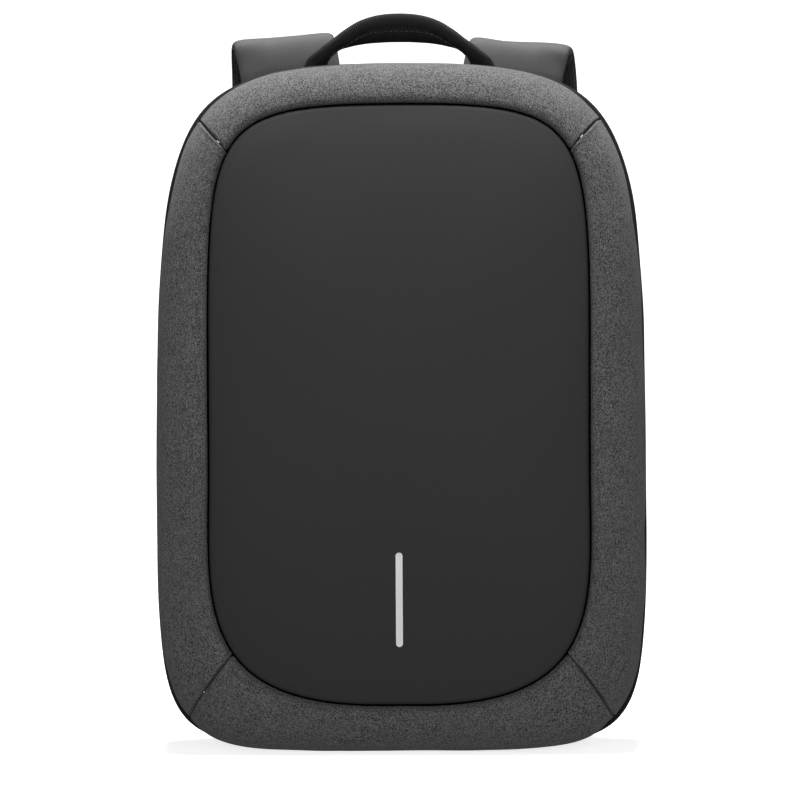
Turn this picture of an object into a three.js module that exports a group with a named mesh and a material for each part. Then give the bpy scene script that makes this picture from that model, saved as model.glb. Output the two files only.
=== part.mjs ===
// An anti-theft backpack that stands on its base: a smooth dark front panel, four melange fabric panels
// mitred round it, a black rear gusset that carries the hidden zip, a padded back panel, two shoulder
// straps that arch up over the top, a webbing grab handle and a reflective strip.
// Millimetres, +Z up. The front panel faces -Y, and the straps are at the back, on the +Y side.
import * as THREE from 'three';

// The body from the front: overall size, the height where it is widest, and the flat that it stands on
const BODY_WIDTH = 300;
const BODY_HEIGHT = 417.5;
const BODY_WIDEST_Z = 147;
const BASE_FLAT = 104;

// The opening that the front panel fills, from the front, inside a border of melange fabric
const SIDE_BORDER = 36.9;
const TOP_BORDER = 29;
const PANEL_WIDTH = BODY_WIDTH - 2 * SIDE_BORDER;
const PANEL_TOP_Z = BODY_HEIGHT - TOP_BORDER;
const PANEL_BOTTOM_Z = 29.7;
const PANEL_WIDEST_Z = 167;
const PANEL_FLAT = 24;

// How full each outline's corners are: 0 is a straight cut across the corner, 1 a tight square one
const BODY_FULLNESS = { top: 0.972, shoulder: 0.927, hip: 0.97, base: 0.95 };
const PANEL_FULLNESS = { top: 1.123, shoulder: 0.937, hip: 0.535, base: 1.11 };

// Depths, from the seam between the melange panels and the gusset
const FACE_DEPTH = 75;
const FACE_RECEDE = 30;
const FACE_DEEPEST_Z = 150;
const GUSSET_DEPTH = 52;
const PANEL_CROWN = 9;
const BACK_CROWN = 16;

// Walls, seams and hems
const FABRIC_WALL = 3;
const PANEL_WALL = 5;
const BACK_PAD = 11;
const BACK_EDGE = 5;
const SEAM_GAP = 0.3;
const GROOVE_DEPTH = 3.5;
const HEM_STEP = 0.9;
const HEM_SLACK_SHARE = { top: 0.022, hip: 0.12, base: -0.03 };
const HEM_TAPER_SHARE = 0.07;
const HEM_TAPER_FROM_Z = 30;
const CREST_HEIGHT = 88;
const BACK_INSET = 14;
const BASE_SEAM_BOW = 0.01;

// Where the mitred corner seams cross the panel's rim and the body's edge, in laps round the outline
const TOP_SEAM = { rim: 0.473, edge: 0.457, bow: 0 };
const BASE_SEAM = { rim: 1.573, edge: 1.578, bow: -BASE_SEAM_BOW };

// The zip that runs over the top on the gusset's rear slope, and its slider
const ZIP_END_LAP = 1.62;
const ZIP_THICKNESS = 1.2;
const ZIP_LOW_SHARE = 0.04;
const ZIP_HIGH_SHARE = 0.72;
const SLIDER_LAP = 1.26;
const SLIDER_WIDTH = 8;
const SLIDER_LENGTH = 11;
const SLIDER_THICKNESS = 2.4;
const PULL_WIDTH = 5;
const PULL_LENGTH = 22;

// The reflective strip on the front panel
const STRIP_WIDTH = 4.2;
const STRIP_TOP_Z = 121;
const STRIP_BOTTOM_Z = 65;
const STRIP_THICKNESS = 0.8;

// The grab handle, a folded webbing arch sewn to the top of the back, and how far it stands above the body
const HANDLE_SPAN = 108;
const HANDLE_RISE = 26.1;
const HANDLE_TOP_Z = BODY_HEIGHT + HANDLE_RISE;
const HANDLE_WIDTH = 18;
const HANDLE_GRIP = 10;

// The padded shoulder straps: each is sewn on below the body's top and folds over above it
const STRAP_WIDTH = 62;
const STRAP_PAD = 9;
const STRAP_SEWN_BELOW = 54;
const STRAP_RISE = 15.2;
const STRAP_SEWN_Z = BODY_HEIGHT - STRAP_SEWN_BELOW;
const STRAP_TOP_Z = BODY_HEIGHT + STRAP_RISE;
const STRAP_END_Z = 108;
const STRAP_SPACING = 133;
const STRAP_REACH = 44;
const STRAP_NECK = 20;
const STRAP_ROLL = 0.07;
const LEFT_STRAP_LEAN = 10.3;
const LEFT_STRAP_SPLAY = 0;
const LEFT_STRAP_LIFT = 4.3;
const RIGHT_STRAP_LEAN = 10.9;
const RIGHT_STRAP_SPLAY = 9;

// The webbing, ladder locks and sewn tabs below the straps
const WEBBING_WIDTH = 25;
const WEBBING_THICKNESS = 1.5;
const WEBBING_TAIL = 62;
const LOCK_WIDTH = 34;
const LOCK_THICKNESS = 4;
const LOCK_BAR = 4;
const LOCK_UPPER_SLOT = 8;
const LOCK_LOWER_SLOT = 5;
const LOCK_STANDOFF = 7;
const LOCK_SLOT_SLACK = 1;
const TAB_LAP = 1.7;
const TAB_SEAT = 4;
const TAB_LENGTH = 24;
const TAB_WIDTH = 36;
const TAB_THICKNESS = 3;

// How finely an outline is divided between a corner seam and the next lap, more so near the seam, and
// how finely the base, the padded routes and the webbing's turns are
const STEPS_PER_SIDE = 7;
const CORNER_BIAS = 1.4;
const BASE_STEPS = 4;
const ROUTE_STEPS = 28;
const TURN_STEPS = 6;

const COLOURS = {
  melange: { color: 0x4c4c4d, roughness: 0.95, metalness: 0 },
  smooth: { color: 0x353536, roughness: 0.6, metalness: 0 },
  black: { color: 0x1c1c1d, roughness: 0.85, metalness: 0 },
  strap: { color: 0x5c5c5d, roughness: 0.7, metalness: 0 },
  reflective: { color: 0xd4d4d4, roughness: 0.35, metalness: 0.2 },
  hardware: { color: 0x151516, roughness: 0.45, metalness: 0 },
};

// The melange panels' section, from the groove at the front panel to the gusset's seam: the share of the
// way across to the body's edge, the share of the depth back to the seam on the sides and at the top's
// crest, and the shares of the groove's depth and of the taper, which draws the wall in towards the front
const FABRIC_SECTION = [
  { across: 0, back: 0, crest: 0, groove: 1, taper: 0 },
  { across: 0.045, back: 0, crest: 0, groove: 0.3, taper: 0 },
  { across: 0.14, back: 0, crest: 0.012, groove: 0, taper: 0 },
  { across: 0.4, back: 0.035, crest: 0.085, groove: 0, taper: 0.1 },
  { across: 0.64, back: 0.105, crest: 0.2, groove: 0, taper: 0.3 },
  { across: 0.83, back: 0.215, crest: 0.36, groove: 0, taper: 0.6 },
  { across: 0.95, back: 0.37, crest: 0.54, groove: 0, taper: 0.9 },
  { across: 1, back: 0.54, crest: 0.7, groove: 0, taper: 1 },
  { across: 1, back: 0.78, crest: 0.86, groove: 0, taper: 0.5 },
  { across: 1, back: 1, crest: 1, groove: 0, taper: 0 },
];

// The gusset's section, front to rear: the share of the swell out past the hem, of the tuck in towards
// the back panel, and of its depth. The zip lies on the slope between rows ZIP_ROW and ZIP_ROW + 1.
const GUSSET_SECTION = [
  { swell: 0, tuck: 0, back: 0 },
  { swell: 0.8, tuck: 0, back: 0.06 },
  { swell: 1, tuck: 0, back: 0.2 },
  { swell: 1, tuck: 0, back: 0.78 },
  { swell: 1, tuck: 0.1, back: 0.87 },
  { swell: 1, tuck: 0.62, back: 1 },
  { swell: 1, tuck: 1, back: 1 },
];
const ZIP_ROW = 4;

// Rings of the two padded panels: the share of the way from the middle to the rim, and of the edge's drop
const PANEL_RINGS = [
  { reach: 0.3, drop: 0 },
  { reach: 0.6, drop: 0 },
  { reach: 0.82, drop: 0 },
  { reach: 0.95, drop: 0 },
  { reach: 0.985, drop: 0.3 },
  { reach: 1, drop: 1 },
];

// The strap's route from the sewn end to the tip: shares of its height, of its reach behind the back, of
// its lean outwards, of its splay below the fold, of its width and of its padding. The neck lies in line
// with the webbing below it.
const STRAP_ROUTE = [
  { up: 0, back: 0, out: 0, splay: 0, width: 0.96, pad: 0.55, stage: 'rise' },
  { up: 0.4, back: 0, out: 0.1, splay: 0, width: 0.98, pad: 0.9, stage: 'rise' },
  { up: 0.78, back: 0.04, out: 0.35, splay: 0, width: 1, pad: 1, stage: 'rise' },
  { up: 0.97, back: 0.2, out: 0.7, splay: 0, width: 1, pad: 1, stage: 'rise' },
  { up: 0.99, back: 0.5, out: 0.95, splay: 0.05, width: 1, pad: 1, stage: 'fall' },
  { up: 0.94, back: 0.78, out: 1, splay: 0.25, width: 1, pad: 1, stage: 'fall' },
  { up: 0.82, back: 0.95, out: 1, splay: 0.45, width: 1, pad: 1, stage: 'fall' },
  { up: 0.64, back: 1, out: 1.08, splay: 0.6, width: 1, pad: 1, stage: 'fall' },
  { up: 0.42, back: 1, out: 1.25, splay: 0.75, width: 0.97, pad: 1, stage: 'fall' },
  { up: 0.2, back: 0.95, out: 1.5, splay: 0.9, width: 0.88, pad: 0.95, stage: 'fall' },
  { width: 0.7, pad: 0.75, stage: 'neck' },
  { up: 0, back: 0.62, out: 1.85, splay: 1, width: 0.5, pad: 0.6, stage: 'fall' },
];

// The two straps don't hang quite alike: how far each leans and splays outwards, and how much higher its
// fold is
const STRAP_SIDES = [
  { side: 'left', sign: -1, lean: LEFT_STRAP_LEAN, splay: LEFT_STRAP_SPLAY, lift: LEFT_STRAP_LIFT },
  { side: 'right', sign: 1, lean: RIGHT_STRAP_LEAN, splay: RIGHT_STRAP_SPLAY, lift: 0 },
];

// A strap's flat section: the share of the half width and of the half thickness
const PAD_SECTION = [
  { across: -1, thick: 0.3 },
  { across: -0.95, thick: 0.8 },
  { across: -0.8, thick: 1 },
  { across: 0.8, thick: 1 },
  { across: 0.95, thick: 0.8 },
  { across: 1, thick: 0.3 },
];
const FLAT_SECTION = [
  { across: -1, thick: 1 },
  { across: 1, thick: 1 },
];

// The handle's route from a sewn end to the middle of the grip: shares of half the span, of the rise, of
// the grip's height and of its thickness. The webbing is flat where it is sewn, turned edgeways on the
// way up and folded double in the grip.
const HANDLE_ROUTE = [
  { across: 1, rise: 0, width: 0.85, grip: 0.35 },
  { across: 0.995, rise: 0.22, width: 0.85, grip: 0.35 },
  { across: 0.955, rise: 0.44, width: 0.78, grip: 0.5 },
  { across: 0.867, rise: 0.6, width: 0.52, grip: 0.85 },
  { across: 0.74, rise: 0.74, width: 0.46, grip: 1 },
  { across: 0.6, rise: 0.84, width: 0.62, grip: 1 },
  { across: 0.4, rise: 0.94, width: 0.85, grip: 1 },
  { across: 0.2, rise: 0.988, width: 0.97, grip: 1 },
  { across: 0, rise: 1, width: 1, grip: 1 },
];

const LAPS = 5;
const SMALL_LAP = 0.002;

const lerp = THREE.MathUtils.lerp;

/** A closed outline in X and Z, followed by laps: 0 top, 1 widest right, 2 and 3 the base flat, 4 left. */
function outline({ width, top, bottom, widest, flat, fullness }) {
  const at = (x, z) => new THREE.Vector2(x, z);
  const side = width / 2;
  const foot = flat / 2;
  const upper = new THREE.CubicBezierCurve(
    at(0, top),
    at(side * fullness.top, top),
    at(side, lerp(widest, top, fullness.shoulder)),
    at(side, widest),
  );
  const lower = new THREE.CubicBezierCurve(
    at(side, widest),
    at(side, lerp(widest, bottom, fullness.hip)),
    at(lerp(foot, side, fullness.base), bottom),
    at(foot, bottom),
  );
  return (lap) => {
    const wrapped = ((lap % LAPS) + LAPS) % LAPS;
    const mirrored = wrapped > LAPS / 2;
    const along = mirrored ? LAPS - wrapped : wrapped;
    const point = along <= 1 ? upper.getPoint(along) : lower.getPoint(Math.min(along - 1, 1));
    if (along > 2) point.x = lerp(foot, -foot, along - 2);
    return mirrored ? at(-point.x, point.y) : point;
  };
}

/** The same outline, moved in by a distance (or out, if it is negative). */
function inset(curve, distance) {
  return (lap) => {
    const along = curve(lap + SMALL_LAP).sub(curve(lap - SMALL_LAP)).normalize();
    return curve(lap).add(new THREE.Vector2(along.y, -along.x).multiplyScalar(distance));
  };
}

const bodyEdge = outline({
  width: BODY_WIDTH,
  top: BODY_HEIGHT,
  bottom: 0,
  widest: BODY_WIDEST_Z,
  flat: BASE_FLAT,
  fullness: BODY_FULLNESS,
});

const hemEdge = outline({
  width: BODY_WIDTH - 2 * HEM_STEP,
  top: BODY_HEIGHT - HEM_STEP,
  bottom: 0,
  widest: BODY_WIDEST_Z,
  flat: BASE_FLAT,
  fullness: {
    top: BODY_FULLNESS.top - HEM_SLACK_SHARE.top,
    shoulder: BODY_FULLNESS.shoulder - HEM_SLACK_SHARE.top,
    hip: BODY_FULLNESS.hip - HEM_SLACK_SHARE.hip,
    base: BODY_FULLNESS.base - HEM_SLACK_SHARE.base,
  },
});

const panelEdge = outline({
  width: PANEL_WIDTH,
  top: PANEL_TOP_Z,
  bottom: PANEL_BOTTOM_Z,
  widest: PANEL_WIDEST_Z,
  flat: PANEL_FLAT,
  fullness: PANEL_FULLNESS,
});

const fabricRim = inset(panelEdge, -SEAM_GAP);
const gussetLip = inset(bodyEdge, BACK_INSET);
const backEdge = inset(bodyEdge, BACK_INSET + SEAM_GAP);
const middleZ = (PANEL_TOP_Z + PANEL_BOTTOM_Z) / 2;

/** How far forward the face stands at a height: deepest low down, receding towards the top. */
function faceY(z) {
  const share = (z - FACE_DEEPEST_Z) / (BODY_HEIGHT - FACE_DEEPEST_Z);
  return -FACE_DEPTH + FACE_RECEDE * share * share;
}

/** A closed body from numbered points and four-cornered or three-cornered faces, turned to face out. */
function closedBody(points, faces) {
  const triangles = faces.flatMap(([a, b, c, d]) =>
    d === undefined ? [[a, b, c]] : [[a, b, c], [a, c, d]],
  );
  const volume = triangles.reduce(
    (sum, [a, b, c]) => sum + points[a].dot(points[b].clone().cross(points[c])),
    0,
  );
  const outward = volume > 0 ? triangles : triangles.map(([a, b, c]) => [a, c, b]);
  const geometry = new THREE.BufferGeometry().setFromPoints(points);
  geometry.setIndex(outward.flat());
  geometry.computeVertexNormals();
  return geometry;
}

/** Joins sections, each with an outer and an inner row of points, into a wall or a strap. */
function loft(sections, closed = false) {
  const points = sections.flatMap(({ outer, inner }) => [...outer, ...inner.toReversed()]);
  const rows = sections[0].outer.length;
  const round = 2 * rows;
  const corner = (column, index) => (column % sections.length) * round + (index % round);
  const faces = [];
  const spans = closed ? sections.length : sections.length - 1;
  for (let column = 0; column < spans; column += 1) {
    for (let index = 0; index < round; index += 1) {
      const face = [
        corner(column, index),
        corner(column, index + 1),
        corner(column + 1, index + 1),
        corner(column + 1, index),
      ];
      // The inner row runs the other way, so its faces are split the other way, to keep the wall even
      faces.push(index < rows ? face : [...face.slice(1), face[0]]);
    }
  }
  for (let row = 0; row < rows - 1 && !closed; row += 1) {
    const end = sections.length - 1;
    faces.push([
      corner(0, row + 1),
      corner(0, row),
      corner(0, round - 1 - row),
      corner(0, round - 2 - row),
    ]);
    faces.push([
      corner(end, row),
      corner(end, row + 1),
      corner(end, round - 2 - row),
      corner(end, round - 1 - row),
    ]);
  }
  return closedBody(points, faces);
}

/** Joins rings of points into a closed pad, with a single point in the middle of each side. */
function pad(rings, frontMiddle, rearMiddle) {
  const around = rings[0].length;
  const points = [...rings.flat(), frontMiddle, rearMiddle];
  const front = points.length - 2;
  const faces = [];
  for (let index = 0; index < around; index += 1) {
    const next = (index + 1) % around;
    const last = (rings.length - 1) * around;
    faces.push([front, index, next]);
    faces.push([front + 1, last + next, last + index]);
    for (let ring = 0; ring < rings.length - 1; ring += 1) {
      const here = ring * around;
      faces.push([here + next, here + index, here + around + index, here + around + next]);
    }
  }
  return closedBody(points, faces);
}

/** The same seam on the other side of the bag. */
function opposite(seam) {
  return { rim: LAPS - seam.rim, edge: LAPS - seam.edge, bow: -seam.bow };
}

function shifted(place, laps) {
  return { rim: place.rim + laps, edge: place.edge + laps, bow: place.bow };
}

/** A place with no seam, at the same lap on the panel's rim and on the body's edge. */
function plain(lap) {
  return { rim: lap, edge: lap, bow: 0 };
}

// Every lap and seam in order, from the left seam at the top round to the middle of the top again
const STOPS = [
  shifted(opposite(TOP_SEAM), -LAPS),
  plain(0),
  TOP_SEAM,
  plain(1),
  BASE_SEAM,
  plain(2),
  plain(3),
  opposite(BASE_SEAM),
  plain(4),
  opposite(TOP_SEAM),
  plain(LAPS),
];

/** The places along the outline from one stop to another, so that neighbouring pieces share them. */
function placesBetween(first, last) {
  const stops = STOPS.slice(first, last + 1);
  return stops.flatMap((stop, index) => {
    if (index === 0) return [stop];
    const from = stops[index - 1];
    const isBase = Number.isInteger(from.edge) && Number.isInteger(stop.edge);
    const steps = isBase ? BASE_STEPS : STEPS_PER_SIDE;
    return Array.from({ length: steps }, (_, step) => {
      const even = (step + 1) / steps;
      const towardsCorner = 1 - (1 - even) ** CORNER_BIAS;
      const fromCorner = even ** CORNER_BIAS;
      const biased = Number.isInteger(from.edge) ? towardsCorner : fromCorner;
      const share = isBase ? even : biased;
      return {
        rim: lerp(from.rim, stop.rim, share),
        edge: lerp(from.edge, stop.edge, share),
        bow: lerp(from.bow, stop.bow, share),
      };
    });
  });
}

const wholeLap = placesBetween(1, STOPS.length - 1).slice(1);

/** A point on the melange panels' outer face. */
function fabricPoint(place, row) {
  const bow = place.bow * 4 * row.across * (1 - row.across);
  const rim = fabricRim(place.rim + bow);
  const edge = hemEdge(place.edge + bow);
  const standing = THREE.MathUtils.smoothstep(edge.y, 0, HEM_TAPER_FROM_Z);
  const across = row.across - HEM_TAPER_SHARE * row.taper * standing;
  const crest = THREE.MathUtils.smoothstep(rim.y, PANEL_TOP_Z - CREST_HEIGHT, PANEL_TOP_Z);
  const back = lerp(row.back, row.crest, crest);
  const depth = faceY(rim.y) * (1 - back) + GROOVE_DEPTH * row.groove;
  return new THREE.Vector3(lerp(rim.x, edge.x, across), depth, lerp(rim.y, edge.y, across));
}

/** A point on the gusset's outer face. */
function gussetPoint(lap, row) {
  const hem = hemEdge(lap);
  const out = hem.lerp(bodyEdge(lap), row.swell).lerp(gussetLip(lap), row.tuck);
  return new THREE.Vector3(out.x, lerp(SEAM_GAP, GUSSET_DEPTH, row.back), out.y);
}

/** The outward normal of a face given by point(place, row), at one row of its section. */
function faceNormal(pointAt, lapBefore, lapAfter, section, row) {
  const round = pointAt(lapAfter, section[row]).sub(pointAt(lapBefore, section[row]));
  const next = pointAt(lapAfter, section[Math.min(row + 1, section.length - 1)]);
  const previous = pointAt(lapAfter, section[Math.max(row - 1, 0)]);
  return round.cross(next.sub(previous)).normalize();
}

/** The outer and inner rows of a wall at one place, the inner row a wall's thickness inside the outer. */
function wallSection(pointAt, place, lapBefore, lapAfter, section, wall) {
  const outer = section.map((row) => pointAt(place, row));
  const inner = outer.map((point, row) => {
    const normal = faceNormal(pointAt, lapBefore, lapAfter, section, row);
    return point.clone().addScaledVector(normal, -wall);
  });
  return { outer, inner };
}

/** One melange panel between two mitred seams, drawn in a little from each. */
function fabricPanel(first, last) {
  const places = placesBetween(first, last);
  const start = places[0];
  const speed = fabricRim(start.rim + SMALL_LAP).distanceTo(fabricRim(start.rim)) / SMALL_LAP;
  places[0] = shifted(start, SEAM_GAP / speed);
  places.push(shifted(places.pop(), -SEAM_GAP / speed));
  return loft(
    places.map((place) =>
      wallSection(
        fabricPoint,
        place,
        shifted(place, -SMALL_LAP),
        shifted(place, SMALL_LAP),
        FABRIC_SECTION,
        FABRIC_WALL,
      ),
    ),
  );
}

/** The black gusset, a ring from the melange hem round to the back panel. */
function rearGusset() {
  return loft(
    wholeLap.map(({ edge }) =>
      wallSection(
        gussetPoint,
        edge,
        edge - SMALL_LAP,
        edge + SMALL_LAP,
        GUSSET_SECTION,
        FABRIC_WALL,
      ),
    ),
    true,
  );
}

/** The front panel's face at a share of the way out to its rim. */
function panelPoint(lap, reach, drop) {
  const edge = panelEdge(lap);
  const z = lerp(middleZ, edge.y, reach);
  const y = faceY(z) - PANEL_CROWN * (1 - reach ** 3) + GROOVE_DEPTH * drop;
  return new THREE.Vector3(edge.x * reach, y, z);
}

function frontPanel() {
  const ring = ({ reach, drop }) => wholeLap.map(({ rim }) => panelPoint(rim, reach, drop));
  const face = PANEL_RINGS.map(ring);
  const behind = face.map((ring) => ring.map((point) => point.clone().setY(point.y + PANEL_WALL)));
  const middle = panelPoint(0, 0, 0);
  return pad([...face, ...behind.toReversed()], middle, middle.clone().setY(middle.y + PANEL_WALL));
}

/** How far the back panel's padding stands behind the gusset at a share of the way out to its edge. */
function backY(reach) {
  return GUSSET_DEPTH + BACK_CROWN * (1 - reach ** 4);
}

function backPanel() {
  const ring = (y, reach) =>
    wholeLap.map(({ edge }) => {
      const out = backEdge(edge);
      return new THREE.Vector3(out.x * reach, y, lerp(middleZ, out.y, reach));
    });
  const face = PANEL_RINGS.map(({ reach }) => ring(backY(reach), reach));
  const edge = ring(GUSSET_DEPTH - BACK_EDGE, 1);
  const inside = PANEL_RINGS.slice(0, 3).map(({ reach }) => ring(backY(reach) - BACK_PAD, reach));
  return pad(
    [...face, edge, ...inside.toReversed()],
    new THREE.Vector3(0, backY(0), middleZ),
    new THREE.Vector3(0, backY(0) - BACK_PAD, middleZ),
  );
}

/** The share of the way out to the back panel's edge at which a place on it lies. */
function backReach(x, z) {
  const turn = (point) => Math.atan2(point.y - middleZ, point.x);
  const place = new THREE.Vector2(x, z);
  const away = (lap) => Math.abs(turn(backEdge(lap)) - turn(place));
  let nearest = 0;
  for (let lap = 0; lap < LAPS; lap += SMALL_LAP) {
    if (away(lap) < away(nearest)) nearest = lap;
  }
  const edge = backEdge(nearest);
  return Math.hypot(x, z - middleZ) / Math.hypot(edge.x, edge.y - middleZ);
}

/** The zip's tape and coil, laid on the gusset's rear slope from one lower side over the top to the other. */
function mainZip() {
  const round = [...wholeLap.map(({ edge }) => edge - LAPS), ...wholeLap.map(({ edge }) => edge)];
  const within = round.filter((lap) => Math.abs(lap) < ZIP_END_LAP - SMALL_LAP);
  return loft(
    [-ZIP_END_LAP, ...within, ZIP_END_LAP].map((edge) => {
      const low = gussetPoint(edge, GUSSET_SECTION[ZIP_ROW]);
      const high = gussetPoint(edge, GUSSET_SECTION[ZIP_ROW + 1]);
      const out = slopeNormal(edge);
      const at = (share, lift) => low.clone().lerp(high, share).addScaledVector(out, lift);
      const row = (lift) => [at(ZIP_LOW_SHARE, lift), at(ZIP_HIGH_SHARE, lift)];
      return { outer: row(SEAM_GAP + ZIP_THICKNESS), inner: row(SEAM_GAP) };
    }),
  );
}

/** The outward normal of the gusset's rear slope, where the zip lies. */
function slopeNormal(lap) {
  const low = gussetPoint(lap, GUSSET_SECTION[ZIP_ROW]);
  const high = gussetPoint(lap, GUSSET_SECTION[ZIP_ROW + 1]);
  const round = gussetPoint(lap + SMALL_LAP, GUSSET_SECTION[ZIP_ROW]).sub(
    gussetPoint(lap - SMALL_LAP, GUSSET_SECTION[ZIP_ROW]),
  );
  return round.cross(high.sub(low)).normalize();
}

/** The slider's body with its pull hanging from it, one plate that lies along the zip. */
function zipSlider() {
  const body = SLIDER_LENGTH / 2;
  const reach = body + PULL_LENGTH;
  const half = PULL_WIDTH / 2;
  const shape = new THREE.Shape();
  shape.moveTo(-SLIDER_WIDTH / 2, body);
  shape.lineTo(-SLIDER_WIDTH / 2, -body);
  shape.lineTo(-half, -body);
  shape.lineTo(-half, half - reach);
  shape.absarc(0, half - reach, half, Math.PI, 2 * Math.PI, false);
  shape.lineTo(half, -body);
  shape.lineTo(SLIDER_WIDTH / 2, -body);
  shape.lineTo(SLIDER_WIDTH / 2, body);
  shape.closePath();
  const geometry = new THREE.ExtrudeGeometry(shape, {
    depth: SLIDER_THICKNESS,
    bevelEnabled: false,
    curveSegments: 6,
  });
  const out = slopeNormal(SLIDER_LAP);
  const down = gussetPoint(SLIDER_LAP + SMALL_LAP, GUSSET_SECTION[ZIP_ROW])
    .sub(gussetPoint(SLIDER_LAP - SMALL_LAP, GUSSET_SECTION[ZIP_ROW]))
    .normalize();
  const lift = 2 * SEAM_GAP + ZIP_THICKNESS + SEAM_GAP;
  const place = gussetPoint(SLIDER_LAP, GUSSET_SECTION[ZIP_ROW])
    .lerp(gussetPoint(SLIDER_LAP, GUSSET_SECTION[ZIP_ROW + 1]), (ZIP_LOW_SHARE + ZIP_HIGH_SHARE) / 2)
    .addScaledVector(out, lift);
  const up = down.negate();
  const basis = new THREE.Matrix4().makeBasis(up.clone().cross(out), up, out);
  return geometry.applyMatrix4(basis.setPosition(place));
}

/** The reflective strip, a thin bar with round ends that follows the front panel's face. */
function reflectiveStrip() {
  const half = STRIP_WIDTH / 2;
  const length = STRIP_TOP_Z - STRIP_BOTTOM_Z;
  const steps = 16;
  const sections = Array.from({ length: steps + 1 }, (_, step) => {
    const along = (length / 2) * -Math.cos((Math.PI * step) / steps);
    const beyond = Math.max(Math.abs(along) - (length / 2 - half), 0);
    const wide = Math.max(Math.sqrt(Math.max(half * half - beyond * beyond, 0)), half / 6);
    const z = (STRIP_TOP_Z + STRIP_BOTTOM_Z) / 2 + along;
    const edge = panelEdge(z > middleZ ? 0 : LAPS / 2);
    const reach = (z - middleZ) / (edge.y - middleZ);
    const seat = faceY(z) - PANEL_CROWN * (1 - reach ** 3) - SEAM_GAP;
    const row = (y) => [new THREE.Vector3(-wide, y, z), new THREE.Vector3(wide, y, z)];
    return { outer: row(seat - STRIP_THICKNESS), inner: row(seat) };
  });
  return loft(sections);
}

/** One section of a band: its middle, the direction across it, the direction out of it and its size. */
function bandSection(middle, across, out, width, thickness, shape) {
  const row = (sign) =>
    shape.map((corner) =>
      middle
        .clone()
        .addScaledVector(across, (corner.across * width) / 2)
        .addScaledVector(out, (sign * corner.thick * thickness) / 2),
    );
  return { outer: row(1), inner: row(-1) };
}

/** The lap at which an outline's top reaches a given X. */
function lapAtX(curve, x) {
  let low = 0;
  let high = 1;
  while (high - low > SMALL_LAP / 100) {
    const middle = (low + high) / 2;
    if (curve(middle).x < x) low = middle;
    else high = middle;
  }
  return low;
}

/** The webbing handle, flat where it is sewn and folded into a thicker grip in the middle. */
function grabHandle() {
  const sewn = gussetLip(lapAtX(gussetLip, HANDLE_SPAN / 2));
  const flat = HANDLE_GRIP * HANDLE_ROUTE[0].grip;
  const y = GUSSET_DEPTH + SEAM_GAP + flat / 2;
  const placed = (row, sign) => {
    const z = lerp(sewn.y + SEAM_GAP, HANDLE_TOP_Z, row.rise);
    return { ...row, point: new THREE.Vector3((sign * row.across * HANDLE_SPAN) / 2, y, z) };
  };
  const half = HANDLE_ROUTE.map((row) => placed(row, 1));
  const mirrored = HANDLE_ROUTE.slice(0, -1).map((row) => placed(row, -1));
  const rows = [...half, ...mirrored.toReversed()];
  const widthOf = (row) => row.width * HANDLE_WIDTH;
  const thicknessOf = (row) => row.grip * HANDLE_GRIP;
  return band(rows, widthOf, thicknessOf, new THREE.Vector3(0, 1, 0));
}

/** A padded band along a smooth route, its flat side facing as near as it can to the given direction. */
function band(rows, widthOf, thicknessOf, facing) {
  const route = new THREE.CatmullRomCurve3(rows.map((row) => row.point));
  const sections = Array.from({ length: ROUTE_STEPS + 1 }, (_, step) => {
    const share = step / ROUTE_STEPS;
    const place = Math.min(share * (rows.length - 1), rows.length - 1 - 1e-9);
    const index = Math.floor(place);
    const between = (of) => lerp(of(rows[index]), of(rows[index + 1]), place - index);
    const along = route.getTangent(share);
    const across = along.clone().cross(facing).normalize();
    const out = across.clone().cross(along).normalize();
    const middle = route.getPoint(share);
    return bandSection(middle, across, out, between(widthOf), between(thicknessOf), PAD_SECTION);
  });
  return loft(sections);
}

/** The middle of a strap's section at one row of its route. */
function strapPoint({ sign, lean, splay, lift }, row) {
  const sewnX = STRAP_SPACING / 2;
  const innerX = sewnX - STRAP_WIDTH / 2;
  const seat = backY(backReach(innerX, STRAP_SEWN_Z)) + SEAM_GAP + STRAP_PAD / 2;
  const foot = row.stage === 'rise' ? STRAP_SEWN_Z : STRAP_END_Z;
  const x = sign * (sewnX + lean * row.out + splay * row.splay);
  const z = lerp(foot, STRAP_TOP_Z + lift * row.up, row.up);
  return new THREE.Vector3(x, seat + STRAP_REACH * row.back, z);
}

/** A shoulder strap, from where it is sewn to the back, over the top and down to its tip. */
function shoulderStrap(side) {
  const neck = below(webbingLine(side), -STRAP_NECK, 0);
  const rows = STRAP_ROUTE.map((row) => ({
    ...row,
    point: row.stage === 'neck' ? neck : strapPoint(side, row),
  }));
  const route = new THREE.CatmullRomCurve3(rows.map((row) => row.point));
  const sections = Array.from({ length: ROUTE_STEPS + 1 }, (_, step) => {
    const share = step / ROUTE_STEPS;
    const place = Math.min(share * (rows.length - 1), rows.length - 1 - 1e-9);
    const index = Math.floor(place);
    const width = lerp(rows[index].width, rows[index + 1].width, place - index) * STRAP_WIDTH;
    const thickness = lerp(rows[index].pad, rows[index + 1].pad, place - index) * STRAP_PAD;
    const along = route.getTangent(share);
    const level = new THREE.Vector3(1, 0, -side.sign * STRAP_ROLL);
    const across = level.addScaledVector(along, -level.dot(along)).normalize();
    const out = along.clone().cross(across).normalize();
    return bandSection(route.getPoint(share), across, out, width, thickness, PAD_SECTION);
  });
  return loft(sections);
}

/** Where the hardware below a strap lies: the strap's tip, the sewn tab's foot and the line between. */
function webbingLine(side) {
  const tip = strapPoint(side, STRAP_ROUTE.at(-1));
  const seam = gussetLip(TAB_LAP);
  const foot = new THREE.Vector3(side.sign * seam.x, GUSSET_DEPTH + SEAM_GAP + TAB_THICKNESS / 2, seam.y);
  const down = foot.clone().sub(tip).normalize();
  const across = new THREE.Vector3(1, 0, 0).addScaledVector(down, -down.x).normalize();
  return { tip, foot, down, across, out: across.clone().cross(down).normalize() };
}

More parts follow.
